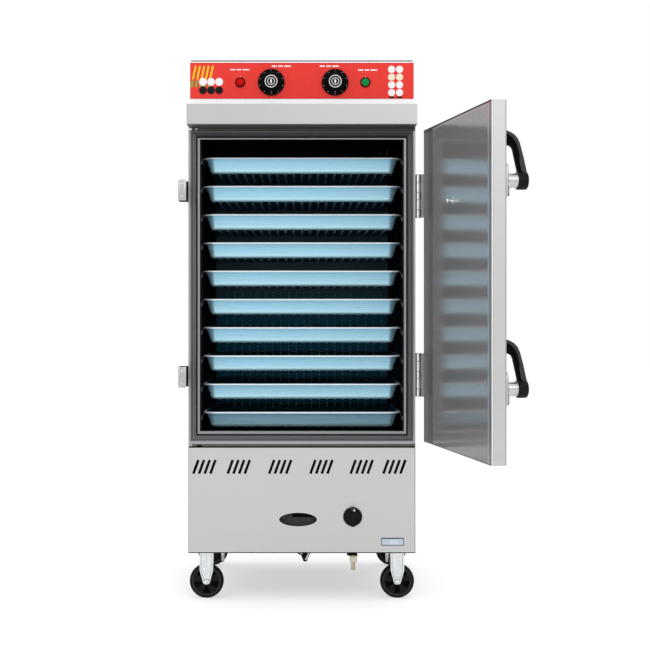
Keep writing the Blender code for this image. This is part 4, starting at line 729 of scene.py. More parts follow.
def tray_pan(low, high):
    """The pan, drawn down from its rim by insets."""
    bpy.ops.object.select_all(action="DESELECT")
    middle, size = (low + high) / 2, high - low
    bpy.ops.mesh.primitive_plane_add(size=1, location=(middle.x, middle.y, high.z - TRAY_LIP))
    pan = settle("tray_pan", "tray_inside", (size.x, size.y, 1))
    opened(pan)
    bpy.ops.mesh.select_mode(type="VERT")
    bpy.ops.mesh.bevel(offset=TRAY_CORNER, segments=CORNER_STEPS, affect="VERTICES")
    bpy.ops.mesh.select_all(action="SELECT")
    bpy.ops.mesh.select_mode(type="FACE")
    for inward, down in tray_insets(size.z):
        bpy.ops.mesh.inset(thickness=inward, depth=-down)
    bpy.ops.mesh.delete(type="FACE")
    bpy.ops.object.mode_set(mode="OBJECT")
    return pan


def floor_area(low, high):
    """The corner and the size of the floor's middle, inside the pan's last ring."""
    taken = sum(inward for inward, _ in tray_insets(TRAY_HEIGHT))
    span = (high.x - low.x - 2 * taken, high.y - low.y - 2 * taken)
    return ((low.x + high.x - span[0]) / 2, (low.y + high.y - span[1]) / 2), span


def near_hole(at, corner, span, reach):
    """True close to the middle of one of the floor's cells."""
    shares = ((at.x - corner[0]) / span[0] * HOLE_COLUMNS % 1, (at.y - corner[1]) / span[1] * HOLE_ROWS % 1)
    return all(abs(share - 0.5) < reach for share in shares)


def punched_floor(low, high):
    """The middle of the floor: rows of small holes, each with a raised collar and its edge turned down."""
    bpy.ops.object.select_all(action="DESELECT")
    middle, z = (low + high) / 2, low.z + TRAY_SHEET
    corner, span = floor_area(low, high)
    bpy.ops.mesh.primitive_grid_add(
        x_subdivisions=HOLE_COLUMNS, y_subdivisions=HOLE_ROWS, size=1, location=(middle.x, middle.y, z)
    )
    floor = settle("tray_floor", "tray_inside", (*span, 1))
    opened(floor)
    bpy.ops.mesh.select_mode(type="FACE")
    bpy.ops.mesh.inset(thickness=(span[0] / HOLE_COLUMNS - HOLE_WIDTH) / 2, use_individual=True)
    bpy.ops.mesh.select_mode(type="VERT")
    bpy.ops.mesh.bevel(offset=HOLE_WIDTH * HOLE_CORNER_SHARE, segments=1, affect="VERTICES")
    pick("FACE", lambda at: near_hole(at, corner, span, HOLE_MIDDLE_SHARE))
    bpy.ops.mesh.inset(thickness=COLLAR_WIDTH, depth=COLLAR_HEIGHT, use_individual=True)
    bpy.ops.mesh.extrude_region_move(TRANSFORM_OT_translate={"value": (0, 0, -COLLAR_HEIGHT - HOLE_LIP)})
    bpy.ops.mesh.delete(type="FACE")
    bpy.ops.object.mode_set(mode="OBJECT")
    return floor


def dot_row(name, each_way, pitch, middle):
    """A row of small round dots that face forward, painted as glints."""
    first = turned(name, DOT_PROFILE, middle, "glint_dot", "front", DOT_SIDES)
    row = [first]
    for step in range(1, each_way + 1):
        for sign in (1, -1):
            row.append(copied(first, name, (sign * step * pitch, 0, 0)))
    return joined(name, *row)


def build_back_sheet():
    """The sheet on the chamber's back wall, with rows of small bright dots painted as glints behind the lower
    trays.
    """
    low, high = (-SHEET_HALF, SHEET_Y, SHEET_BOTTOM), (SHEET_HALF, SHEET_Y + SHEET_THICKNESS, SHEET_TOP)
    sheet = block("back_sheet", low, high, "back_sheet", SHEET_EDGE, 1)
    middle = (SHEET_DOTS_MIDDLE, SHEET_Y + DOT_SEAT, SHEET_DOTS_LOW)
    first = dot_row("back_glints", SHEET_DOTS_EACH_WAY, SHEET_DOTS_PITCH, middle)
    rows = [first]
    for step in range(1, round((SHEET_DOTS_HIGH - SHEET_DOTS_LOW) / SHEET_ROWS_PITCH) + 1):
        rows.append(copied(first, "back_glints", (0, 0, step * SHEET_ROWS_PITCH)))
    trim_on(joined("back_sheet", sheet, *rows), "cabinet")


def paint_tray(tray, low, high):
    """The floor painted dark as shade, and paler collars round its holes and a bright rim as painted highlights.
    """
    corner, span = floor_area(low, high)
    middle = (low + high) / 2

    def in_middle(at):
        reach = (span[0] / 2 + FLOOR_SLACK, span[1] / 2 + FLOOR_SLACK)
        return abs(at.x) < reach[0] and abs(at.y - middle.y) < reach[1]

    def on_floor(at):
        return at.z < low.z + (FLOOR_TOP if in_middle(at) else FLOOR_UNDERSIDE)

    def on_collar(at):
        return at.z < low.z + COLLAR_TOP and in_middle(at) and near_hole(at, corner, span, HOLE_REACH_SHARE)

    paint_part(tray, "tray_floor", on_floor)
    paint_part(tray, "tray_lip", on_collar)
    paint_part(tray, "tray_rim", lambda at: at.z > high.z - TRAY_LIP - RIM_UNDERSIDE)


def build_trays():
    """One tray is modelled, and the other nine are copies of it."""
    low, high = TRAY_LOW, TRAY_HIGH
    tray = joined("tray_01_pan", tray_pan(low, high), punched_floor(low, high))
    alone(tray)
    tray.data.materials.append(FINISHES["tray_film"])
    # The pan's own faces, its inside, keep the darker tray_inside as painted shade; the new outer shell takes the
    # film
    sheet = tray.modifiers.new("sheet", "SOLIDIFY")
    sheet.thickness = TRAY_SHEET
    sheet.offset = -1
    sheet.material_offset = 1
    bpy.ops.object.modifier_apply(modifier=sheet.name)
    paint_tray(tray, low, high)
    round_off(tray, TRAY_SMOOTH_ANGLE)
    dots = []
    for drop in TRAY_DOTS_DROPS:
        middle = (TRAY_DOTS_MIDDLE, BACK_WALL_Y - drop * BACK_WALL_LEAN_SHARE, high.z - drop)
        dots.append(dot_row("tray_glints", TRAY_DOTS_EACH_WAY, TRAY_DOTS_PITCH, middle))
    tray = joined("tray_01_pan", tray, *dots)
    for number in range(2, TRAYS + 1):
        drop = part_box(f"tray_{number:02d}")[1].z - high.z
        copy = copied(tray, f"tray_{number:02d}_pan", (0, 0, drop))
        stand_for(copy, f"tray_{number:02d}")
    stand_for(tray, "tray_01")


# Door gasket, on the frame round the doorway: inward and outward steps over its ribs
GASKET_STEPS = (
    (0.0006, 0.0060), (0.0026, 0.0014), (0.0018, -0.0022), (0.0010, -0.0016), (0.0030, 0.0026),
    (0.0026, -0.0006), (0.0016, -0.0020), (0.0014, 0.0022), (0.0030, 0.0016), (0.0030, -0.0010),
    (0.0014, -0.0062),
)
GASKET_TOP_BAND, GASKET_EDGE, GASKET_GROOVE = 0.0220, 0.0062, 0.0190
GASKET_SMOOTH_ANGLE = 50


def build_gasket():
    """A ribbed rubber ring with mitred corners, drawn in from its outside by insets."""
    bpy.ops.object.select_all(action="DESELECT")
    middle, size = (GASKET_LOW + GASKET_HIGH) / 2, GASKET_HIGH - GASKET_LOW
    place = (middle.x, GASKET_HIGH.y, middle.z)
    bpy.ops.mesh.primitive_plane_add(size=1, location=place, rotation=FACINGS["front"])
    gasket = settle("door_gasket", "gasket_rubber", (size.x, size.z, 1))
    opened(gasket)
    bpy.ops.mesh.select_mode(type="FACE")
    for inward, out in GASKET_STEPS:
        bpy.ops.mesh.inset(thickness=inward, depth=out)
    bpy.ops.mesh.delete(type="FACE")
    bpy.ops.object.mode_set(mode="OBJECT")

    def depth(at):
        """How far in from the ring's outer edge a point is."""
        return min(size.x / 2 - abs(at.x - middle.x), size.z / 2 - abs(at.z - middle.z))

    # The sides and bottom painted lighter than the top band, the outer rib lighter still, and the inner channel
    # near-black: painted light and shade
    paint_part(gasket, "gasket_lit_side", lambda at: at.z < GASKET_HIGH.z - GASKET_TOP_BAND)
    paint_part(gasket, "gasket_edge_sheen", lambda at: depth(at) < GASKET_EDGE)
    paint_part(gasket, "hollow_black", lambda at: GASKET_GROOVE < depth(at))
    stand_for(round_off(gasket, GASKET_SMOOTH_ANGLE), "frame_gasket")


def front_ring(name, low, high, width, out, look):
    """A flat four-sided ring on the frame's face, standing out by its thickness."""
    bpy.ops.object.select_all(action="DESELECT")
    place = ((low[0] + high[0]) / 2, FRAME_LOW.y, (low[1] + high[1]) / 2)
    bpy.ops.mesh.primitive_plane_add(size=1, location=place, rotation=FACINGS["front"])
    ring = settle(name, look, (high[0] - low[0], high[1] - low[1], 1))
    opened(ring)
    bpy.ops.mesh.select_mode(type="FACE")
    bpy.ops.mesh.inset(thickness=width, depth=0)
    bpy.ops.mesh.delete(type="FACE")
    bpy.ops.mesh.select_all(action="SELECT")
    bpy.ops.mesh.extrude_region_move(TRANSFORM_OT_translate={"value": (0, -out, 0)})
    closed()
    trim_on(ring, "cabinet")


# Strips, seams and edge lines on the body's front
DOORWAY_HALF, DOORWAY_BOTTOM, DOORWAY_TOP = 0.3111, 0.4992, 1.3872
DOORWAY_STRIP, DOORWAY_SHADE = 0.0058, 0.0036
STRIP_OUT, SHADE_OUT = 0.0010, 0.0004
SILL_BOTTOM, SILL_TOP = 0.5048, 0.5076
LINE_SETBACK = 0.0010
LINE_HALF = HALF_WIDTH - LINE_SETBACK
# Each line's name, sides, bottom and top, reach in front of and behind the frame's face, finish and rounding
FRAME_LINES = (
    # header_back: a dark band on the frame under the hood, painted as the hood's shade
    ("header_back", (-LINE_HALF, LINE_HALF), (1.4072, 1.4183), (0.0008, -0.0001), "seam_and_shade_dark", (0.0002, 1)),
    ("header_bead", (-LINE_HALF, LINE_HALF), (1.4092, 1.4124), (0.0022, -0.0001), "seam_grey", (0.0002, 1)),
    ("header_line", (-LINE_HALF, LINE_HALF), (1.4146, 1.4168), (0.0016, -0.0001), "seam_and_shade_olive", (0.0002, 1)),
    ("foot_band", (-LINE_HALF, LINE_HALF), (0.4624, 0.4697), (0.0008, -0.0001), "seam_and_shade_olive", (0.0002, 1)),
    ("foot_seam", (-LINE_HALF, LINE_HALF), (0.4581, 0.4630), (0.0004, 0.0012), "hollow_black", (0.0, 1)),
    ("foot_notch", (-0.3150, -0.2985), (0.4624, 0.4660), (0.0012, -0.0002), "hollow_black", (0.0003, 1)),
    ("foot_corner", (-0.3390, -0.3290), (0.4624, 0.4690), (0.0016, -0.0002), "bright_strip", (0.0006, 2)),
)
CLIP_LOW, CLIP_HIGH, CLIP_EDGE = (-0.3392, -0.0040, 1.4084), (-0.3290, -0.0010, 1.4172), 0.0008
CLIP_STUD_PROFILE = ((0.0034, 0.0), (0.0034, 0.0012), (0.0024, 0.0022), (0.0010, 0.0026))
CLIP_STUD_PLACE = (-0.3160, -0.0008, 1.4128)
HOOD_SHADE_SETBACK, HOOD_SHADE_BELOW, HOOD_SHADE_ABOVE = 0.0012, 0.0004, 0.0002
HEM_HEIGHT, HEM_OUT, HEM_IN, HEM_EDGE = 0.0024, 0.0008, 0.0002, 0.0003
PANEL_EDGE_OUT = 0.0004
PANEL_LINE, PANEL_HEM_TOP = 0.0030, 0.0062
PANEL_LEFT_LINE, PANEL_RIGHT_LINE, PANEL_LINES_START = 0.0014, 0.0018, 0.0018
TOP_LINE_SETBACK, TOP_LINE_OUT, TOP_LINE_HEIGHT, TOP_LINE_EDGE = 0.0030, 0.0006, 0.0036, 0.0004


def build_doorway_strip():
    """A bright strip round the doorway, the shade inside it and the sill."""
    low, high = (-DOORWAY_HALF, DOORWAY_BOTTOM), (DOORWAY_HALF, DOORWAY_TOP)
    front_ring("doorway_strip", low, high, DOORWAY_STRIP, STRIP_OUT, "strip_grey")
    inner_low = tuple(value + DOORWAY_STRIP for value in low)
    inner_high = tuple(value - DOORWAY_STRIP for value in high)
    front_ring("doorway_shade", inner_low, inner_high, DOORWAY_SHADE, SHADE_OUT, "hollow_black")
    sill_low = (inner_low[0], FRAME_LOW.y - STRIP_OUT, SILL_BOTTOM)
    sill = block("doorway_sill", sill_low, (inner_high[0], FRAME_LOW.y, SILL_TOP), "strip_grey")
    trim_on(sill, "cabinet")


def build_frame_lines():
    """Seams over and under the doorway, and a dark band under the hood painted as its shade."""
    face = FRAME_LOW.y
    for name, (left, right), (bottom, top), (out, behind), look, (bevel, segments) in FRAME_LINES:
        line = block(name, (left, face - out, bottom), (right, face + behind, top), look, bevel, segments)
        trim_on(line, "cabinet")


def build_hood_lines():
    """A dark plate under the hood, painted as the hood's shade, and the hood's folded lower edge."""
    low = HOOD_LOW
    under_low = (-LINE_HALF, low.y + HOOD_SHADE_SETBACK, low.z - HOOD_SHADE_BELOW)
    under_high = (LINE_HALF, FRAME_LOW.y - HOOD_SHADE_SETBACK, low.z + HOOD_SHADE_ABOVE)
    trim_on(block("hood_shade", under_low, under_high, "seam_and_shade_olive"), "cabinet")
    hem_low = (-HALF_WIDTH, low.y - HEM_OUT, low.z)
    hem_high = (HALF_WIDTH, low.y + HEM_IN, low.z + HEM_HEIGHT)
    trim_on(block("hood_hem", hem_low, hem_high, "bright_strip", HEM_EDGE, 1), "cabinet")


def build_corner_clip():
    """A small clip and stud at the frame's upper left corner."""
    on_face = Vector((0, FRAME_LOW.y, 0))
    low, high = Vector(CLIP_LOW) + on_face, Vector(CLIP_HIGH) + on_face
    clip = block("corner_clip", low, high, "zinc_plate", CLIP_EDGE)
    place = Vector(CLIP_STUD_PLACE) + on_face
    stud = turned("corner_stud", CLIP_STUD_PROFILE, place, "zinc_plate", "front", 20)
    trim_on(joined("corner_clip", clip, stud), "cabinet")


def build_panel_lines():
    """Edge lines round the base panel, and the line along the control box's top."""
    low, high = PANEL_LOW, PANEL_HIGH
    left, right = low.x + PANEL_LEFT_LINE, high.x - PANEL_RIGHT_LINE
    start, hem = low.z + PANEL_LINES_START, low.z + PANEL_LINE
    for name, sides, heights, look in (
        ("panel_line_low", (low.x, high.x), (low.z, hem), "seam_and_shade_dark"),
        ("panel_line_left", (low.x, left), (start, high.z), "seam_grey"),
        ("panel_line_right", (right, high.x), (start, high.z), "seam_grey"),
        ("panel_hem", (left, right), (hem, low.z + PANEL_HEM_TOP), "pale_hem"),
    ):
        line_low = (sides[0], FRONT_Y - PANEL_EDGE_OUT, heights[0])
        trim_on(block(name, line_low, (sides[1], FRONT_Y, heights[1]), look), "cabinet")
    front, top = CONTROL_LOW.y, CONTROL_HIGH.z
    half = CONTROL_HIGH.x - TOP_LINE_SETBACK
    line_low = (-half, front - TOP_LINE_OUT, top - TOP_LINE_HEIGHT)
    line = block("control_top_line", line_low, (half, front, top), "seam_grey", TOP_LINE_EDGE, 1)
    trim_on(line, "cabinet")


# Fittings seen inside the doorway
VENT_RING_PLACE = (0.2665, 0.2346, 1.3990)
VENT_RING_RADIUS, VENT_RING_WIDTH = 0.0228, 0.0030
VENT_STUD_PROFILE = ((0.0034, 0.0), (0.0034, 0.0016), (0.0020, 0.0026))
VENT_STUD_ASIDE = 0.0020
RUNNER_END_INNER, RUNNER_END_OUTER = 0.2996, 0.3046
RUNNER_END_Y, RUNNER_END_SHEET = -0.3112, 0.0006
RUNNER_END_DROPS = (0.0225, 0.0120)
RUNNER_END_CORNER = 0.0018


def build_vent_ring():
    """A round fitting high on the chamber's back wall."""
    x, y, z = VENT_RING_PLACE
    ring = flat_ring("chamber_ring", VENT_RING_RADIUS, VENT_RING_WIDTH, VENT_RING_PLACE, "ring_pale")
    place = (x - VENT_STUD_ASIDE, y, z)
    stud = turned("ring_stud", VENT_STUD_PROFILE, place, "ring_pale", "front", 20)
    trim_on(joined("chamber_ring", ring, stud), "cabinet")


def build_runner_ends():
    """The turned end of each runner, seen beside the doorway."""
    bottom, top = (TRAY_HIGH.z - drop for drop in RUNNER_END_DROPS)
    for side, sign in (("left", -1), ("right", 1)):
        near, far = sorted((sign * RUNNER_END_INNER, sign * RUNNER_END_OUTER))
        low, high = (near, RUNNER_END_Y - RUNNER_END_SHEET, bottom), (far, RUNNER_END_Y, top)
        first = block("runner_end", low, high, "runner_grey", RUNNER_END_CORNER, 3)
        ends = [first]
        for place in range(1, TRAYS):
            ends.append(copied(first, "runner_end", (0, 0, -place * TRAY_PITCH)))
        trim_on(joined(f"runner_ends_{side}", *ends), "cabinet")


# Casters
WHEEL_SIDES = 60
WHEEL_PROFILE = (
    (0.0100, 0.0150), (0.0135, 0.0150), (0.0145, 0.0142), (0.0150, 0.0115), (0.0370, 0.0115),
    (0.0385, 0.0135), (0.0400, 0.0140), (0.0450, 0.0140), (0.0458, 0.0130), (0.0480, 0.0128),
    (0.0500, 0.0112), (0.0511, 0.0085), (0.0515, 0.0045),
)
WHEEL_FACE = 0.0115
WHEEL_SMOOTH_ANGLE = 30
WEDGES = 5
WEDGE_INNER, WEDGE_OUTER, WEDGE_HALF_SHARE = 0.0160, 0.0360, 0.25
WEDGE_BORDER, WEDGE_DEPTH = 0.0006, 0.0070
WEDGE_TOP = 0.0112
SHEEN_INNER, SHEEN_OUTER = 0.0372, 0.0462
ON_PLANE, ON_FACE = 1e-4, 1e-5
FORK_PLATE = 0.0012
FORK_MARGIN = 0.0036
FORK_STEP_WIDTH, FORK_STEP_DEPTH = 0.0012, 0.0011
FORK_SHADE_DEPTH = 0.0010
FORK_SMOOTH_ANGLE = 25
LEG_CLEARANCE, LEG_SHEET, LEG_SEAT = 0.0020, 0.0030, 0.0003
FORK_RUNGS = (
    ((-0.0052, -0.0078), (0.0052, -0.0078)), ((-0.0084, -0.0056), (0.0084, -0.0056)),
    ((-0.0104, -0.0012), (0.0104, -0.0012)), ((-0.0190, 0.0290), (0.0190, 0.0290)),
    ((-0.0203, 0.0370), (0.0203, 0.0370)), ((-0.0203, 0.0985), (0.0203, 0.0985)),
)
AXLE_HEAD_PROFILE = (
    (0.0058, 0), (0.0062, 0.0006), (0.0062, 0.0034),
    (0.0050, 0.0042), (0.0030, 0.0042), (0.0026, 0.0036),
)
AXLE_RING_RADIUS, AXLE_RING_WIDTH = 0.0078, 0.0012
HEAD_SEAT_SHARE, RING_SEAT_SHARE = 0.2, 0.3
BRAKE_TABS = {"left": -0.2680, "right": 0.2880}
BRAKE_TAB_Y, BRAKE_TAB_SHEET, BRAKE_TAB_EDGE = 0.2490, 0.0016, 0.0004
BRAKE_TAB_RUNGS = (
    ((-0.0022, 0.0130), (0.0022, 0.0130)), ((-0.0046, 0.0180), (0.0040, 0.0180)),
    ((-0.0050, 0.0330), (0.0050, 0.0330)), ((-0.0064, 0.0560), (0.0064, 0.0560)),
)


def wheel_shape(name):
    """A wheel about the Y axis at the origin, with five wedge hollows in each side."""
    far = tuple((radius, -height) for radius, height in WHEEL_PROFILE)
    wheel = turned(name, far + WHEEL_PROFILE[::-1], (0, 0, 0), "wheel_plastic", "front", WHEEL_SIDES)

    def radius_of(at):
        return math.hypot(at.x, at.z)

    def in_wedge(at):
        if not WEDGE_INNER < radius_of(at) < WEDGE_OUTER or abs(abs(at.y) - WHEEL_FACE) > ON_PLANE:
            return False
        share = (math.degrees(math.atan2(at.z, at.x)) + 90) / (360 / WEDGES)
        return abs((share + 0.5) % 1 - 0.5) < WEDGE_HALF_SHARE

    def in_hollow(at):
        return WEDGE_INNER < radius_of(at) < WEDGE_OUTER and abs(at.y) < WEDGE_TOP

    opened(wheel)
    pick("FACE", in_wedge)
    bpy.ops.mesh.inset(thickness=WEDGE_BORDER, depth=0)
    bpy.ops.mesh.inset(thickness=WEDGE_BORDER, depth=-WEDGE_DEPTH)
    closed()
    # The wedge hollows near-black as painted shade, and a slightly lighter ring inside the tyre as a painted
    # highlight
    paint_part(wheel, "hollow_black", in_hollow)
    paint_part(wheel, "wheel_rim_sheen", lambda at: SHEEN_INNER < radius_of(at) < SHEEN_OUTER)
    paint_part(wheel, "tyre_rubber", lambda at: radius_of(at) > SHEEN_OUTER)
    return round_off(wheel, WHEEL_SMOOTH_ANGLE)


def build_wheels():
    """One wheel is modelled, and each caster gets its own copy."""
    wheel = wheel_shape("wheel")
    for side in ("front_left", "front_right", "rear_left", "rear_right"):
        low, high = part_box(f"wheel_{side}")
        copy = copied(wheel, f"caster_wheel_{side}", (low + high) / 2)
        stand_for(copy, f"wheel_{side}")
    bpy.data.objects.remove(wheel)


def fork_face(name):
    """A front leg's pressed face, drawn flat: raised margins round a sunk middle."""
    face = strip(name, FORK_RUNGS, FORK_PLATE, "zinc_plate")
    opened(face)
    pick("FACE", lambda at: abs(at.z - FORK_PLATE) < ON_FACE)
    bpy.ops.mesh.inset(thickness=FORK_MARGIN, depth=0)
    bpy.ops.mesh.inset(thickness=FORK_STEP_WIDTH, depth=-FORK_STEP_DEPTH)
    closed()
    # The raised margins lighter and the step faces round the sunk middle dark: painted highlight and shade
    paint_part(face, "zinc_highlight", lambda at: at.z > FORK_PLATE - ON_FACE)
    paint_part(face, "zinc_shade", lambda at: FORK_PLATE - FORK_SHADE_DEPTH < at.z < FORK_PLATE - ON_PLANE)
    return face


def build_fork_faces():
    """The pressed face of each front leg, and the axle's washer and bolt head."""
    for side in ("left", "right"):
        low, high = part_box(f"wheel_front_{side}")
        x, z = (low.x + high.x) / 2, (low.z + high.z) / 2
        leg_y = low.y - LEG_CLEARANCE - LEG_SHEET - LEG_SEAT
        face = set_in(fork_face(f"fork_face_{side}"), (1, 0, 0), (0, 0, 1), (x, leg_y, z))
        trim_on(round_off(face, FORK_SMOOTH_ANGLE), "cabinet")
        place = (x, leg_y - FORK_PLATE * HEAD_SEAT_SHARE, z)
        head = turned(f"axle_head_{side}", AXLE_HEAD_PROFILE, place, "zinc_plate", "front", 24)
        # The washer ring is dark: painted shade round the bolt head
        place = (x, leg_y - FORK_PLATE * RING_SEAT_SHARE, z)
        ring = flat_ring("axle_ring", AXLE_RING_RADIUS, AXLE_RING_WIDTH, place, "zinc_shade")
        trim_on(joined(f"axle_head_{side}", head, ring), "cabinet")


def build_brake_tabs():
    """The flat end of each rear wheel's stop, seen under the base."""
    for side, x in BRAKE_TABS.items():
        tab = strip(f"brake_tab_{side}", BRAKE_TAB_RUNGS, BRAKE_TAB_SHEET, "zinc_plate")
        set_in(tab, (1, 0, 0), (0, 0, 1), (x, BRAKE_TAB_Y, 0))
        trim_on(soften(tab, BRAKE_TAB_EDGE), BODY_OF[f"rear_fork_{side}"])


# Dials: profile heights and depths are measured forward from the panel
DIAL_PROFILE = (
    (0.0392, 0.0002), (0.0403, 0.0014), (0.0403, 0.0052), (0.0394, 0.0066), (0.0310, 0.0078),
    (0.0292, 0.0090), (0.0280, 0.0225), (0.0264, 0.0248), (0.0232, 0.0252), (0.0222, 0.0242),
    (0.0215, 0.0242), (0.0100, 0.0242),
)
DIAL_FACE, SKIRT_FACE = 0.0242, 0.0072
DIAL_WALL_INNER, DIAL_WALL_OUTER, DIAL_WALL_START = 0.0275, 0.0300, 0.0080
DIAL_RINGS = (("outer_ring", 0.0190, 0.0022), ("inner_ring", 0.0113, 0.0019))
# Each mark's name, depth in front of the panel, height over the axis, width and height, and turn
DIAL_MARKS = (
    ("middle_bar", 0.0245, 0.0, (0.0036, 0.0130), 0),
    ("point_low", 0.0092, -0.0284, (0.0038, 0.0034), 0),
    ("diamond", 0.0246, 0.0, (0.0056, 0.0056), 45),
)
PRINT_THICKNESS = 0.0006
FIGURE_RADIUS, FIGURE_HEIGHT, FIGURE_OUT = 0.0352, 0.0044, 0.0002
DIAL_FIGURES = {
    "temperature_dial": ("0", "30", "50", "70", "80", "90", "100", "110", "120", "130"),
    "timer_dial": ("0", "20", "30", "40", "50", "60", "80", "90", "100", "120"),
}


def flat_ring(name, radius, width, place, look):
    """A thin ring: a disc whose middle is inset and taken out, made thick."""
    bpy.ops.object.select_all(action="DESELECT")
    bpy.ops.mesh.primitive_circle_add(
        vertices=64, radius=radius, fill_type="NGON", location=place, rotation=FACINGS["front"]
    )
    ring = settle(name, look)
    opened(ring)
    bpy.ops.mesh.inset(thickness=width, depth=0)
    bpy.ops.mesh.delete(type="FACE")
    bpy.ops.mesh.select_all(action="SELECT")
    bpy.ops.mesh.extrude_region_move(TRANSFORM_OT_translate={"value": (0, -PRINT_THICKNESS, 0)})
    closed()
    return round_off(ring)


def mark(name, place, size, turn):
    """A small raised mark on a dial, turned about its own middle."""
    bpy.ops.object.select_all(action="DESELECT")
    bpy.ops.mesh.primitive_cube_add(size=1, location=place, rotation=(0, math.radians(turn), 0))
    return settle(name, "white_print", (size[0], PRINT_THICKNESS, size[1]))


def figure(name, words, place):
    """Plain numbers as flat raised print."""
    bpy.ops.object.select_all(action="DESELECT")
    bpy.ops.object.text_add(location=place, rotation=FACINGS["front"])
    text = bpy.context.object
    text.data.body = words
    text.data.size = FIGURE_HEIGHT
    text.data.extrude = FIGURE_OUT
    text.data.resolution_u = 2
    text.data.align_x = "CENTER"
    text.data.align_y = "CENTER"
    bpy.ops.object.convert(target="MESH")
    return settle(name, "print_grey")


def build_dial(node, figures):
    """A dial with a flat skirt, two printed rings on its face, and plain numbers round its skirt."""
    low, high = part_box(node)
    x, z, back = (low.x + high.x) / 2, (low.z + high.z) / 2, high.y
    dial = turned(f"{node}_body", DIAL_PROFILE, (x, back, z), "black_gloss", "front", 64)

    def on_wall(at):
        radius = math.hypot(at.x - x, at.z - z)
        return DIAL_WALL_INNER < radius < DIAL_WALL_OUTER and at.y < back - DIAL_WALL_START

    # The wall between the skirt and the face is painted near-black as shade
    paint_part(dial, "hollow_black", on_wall)
    pieces = []
    for name, radius, width in DIAL_RINGS:
        pieces.append(flat_ring(name, radius, width, (x, back - DIAL_FACE, z), "white_print"))
    for name, depth, rise, size, turn in DIAL_MARKS:
        pieces.append(mark(name, (x, back - depth, z + rise), size, turn))
    for step, words in enumerate(figures):
        angle = math.radians(360 * step / len(figures) + 90)
        across, rise = FIGURE_RADIUS * math.cos(angle), FIGURE_RADIUS * math.sin(angle)
        pieces.append(figure(f"figure_{step}", words, (x + across, back - SKIRT_FACE, z + rise)))
    stand_for(dial, node)
    trim_on(joined(f"{node}_marks", *pieces), BODY_OF[node])


# Pilot lamps
LAMP_BEZEL = (
    (0.0151, 0.0002), (0.0154, 0.0010), (0.0153, 0.0030),
    (0.0146, 0.0040), (0.0124, 0.0042), (0.0116, 0.0030),
)
LAMP_LENS = (
    (0.0114, 0.0015), (0.0114, 0.0048), (0.0107, 0.0064),
    (0.0088, 0.0075), (0.0058, 0.0081), (0.0020, 0.0083),
)
NOTCH_HALF, NOTCH_OUT, NOTCH_BOTTOM, NOTCH_TOP, NOTCH_EDGE = 0.0012, 0.0030, 0.0150, 0.0172, 0.0004


def build_lamp(node, look):
    """A black bezel round a domed lens, with a small notch over it."""
    low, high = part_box(node)
    x, z, face = (low.x + high.x) / 2, (low.z + high.z) / 2, FASCIA_LOW.y
    bezel = turned(f"{node}_bezel", LAMP_BEZEL, (x, face, z), "black_gloss", "front", 48)
    lens = turned(f"{node}_lens", LAMP_LENS, (x, face, z), look, "front", 48)
    notch_low = (x - NOTCH_HALF, face - NOTCH_OUT, z + NOTCH_BOTTOM)
    notch_high = (x + NOTCH_HALF, face, z + NOTCH_TOP)
    notch = block(f"{node}_notch", notch_low, notch_high, "bright_steel", NOTCH_EDGE)
    trim_on(bezel, "cabinet")
    trim_on(lens, "cabinet")
    trim_on(notch, "cabinet")


# Print on the control panel: plain lines, dashes, stripes and discs
PRINT_SEAT, PRINT_OUT = 0.0001, 0.0004
BORDER_UPPER, BORDER_LOWER = 0.0020, 0.0018
DASH_OUT = 0.0005
DASH_WORDS = ((-0.0220, 0.0150), (-0.0030, 0.0140), (0.0180, 0.0200))
DASH_ROWS = (
    ("heat", -0.1876, 1.5990, 0.0034), ("dial_left", -0.0618, 1.6096, 0.0040),
    ("dial_right", 0.0836, 1.6096, 0.0040), ("power", 0.2003, 1.5980, 0.0040),
)
STRIPES, STRIPE_PITCH, STRIPE_LEAN = 5, 0.0130, 12
STRIPE_OUT, STRIPE_STEP_OUT = 0.0003, 0.00003
# Each row of stripes: name, first place, width and height, finish
STRIPE_ROWS = (
    ("left_bar", (-0.3262, 1.5900), (0.0060, 0.0420), "print_yellow"),
    ("left_tip", (-0.3330, 1.5560), (0.0060, 0.0200), "print_green"),
)
LEFT_DISCS, LEFT_DISC_X, LEFT_DISC_PITCH = 3, -0.3000, 0.0245
LEFT_DISC_RADIUS, LEFT_DISC_OUT = 0.0118, 0.0009
LEFT_DISC_ROWS = (("left_high", 1.5620, "print_white"), ("left_low", 1.5365, "print_black"))
RIGHT_COLUMNS = (0.2720, 0.2960)
RIGHT_DISC_RADIUS, RIGHT_DISC_OUT = 0.0108, 0.0007
RIGHT_DISC_TOP, RIGHT_DISC_PITCH = 1.6000, 0.0235
RIGHT_DISC_LOOKS = ("print_white", "print_cream", "print_white", "print_white")
RIGHT_BAR_Z, RIGHT_BAR_SIZE = 1.5155, (0.0150, 0.0050)


def printed_disc(name, x, z, radius, out, look):
    """A flat round disc of print."""
    return turned(name, ((radius, PRINT_SEAT), (radius, out)), (x, FASCIA_LOW.y, z), look, "front", 48)


def printed_bar(name, x, z, size, look, out, lean=0):
    """A flat bar of print that leans by some degrees."""
    bpy.ops.object.select_all(action="DESELECT")
    place = (x, FASCIA_LOW.y - out / 2, z)
    bpy.ops.mesh.primitive_cube_add(size=1, location=place, rotation=(0, math.radians(lean), 0))
    return settle(name, look, (size[0], out, size[1]))


def build_borders():
    """Thin lines along the panel's upper and lower edges."""
    low, high = FASCIA_LOW, FASCIA_HIGH
    for name, bottom, top in (
        ("upper", high.z - BORDER_UPPER, high.z), ("lower", low.z, low.z + BORDER_LOWER),
    ):
        start, end = (low.x, low.y - PRINT_OUT, bottom), (high.x, low.y, top)
        trim_on(block(f"fascia_line_{name}", start, end, "dark_red"), "cabinet")


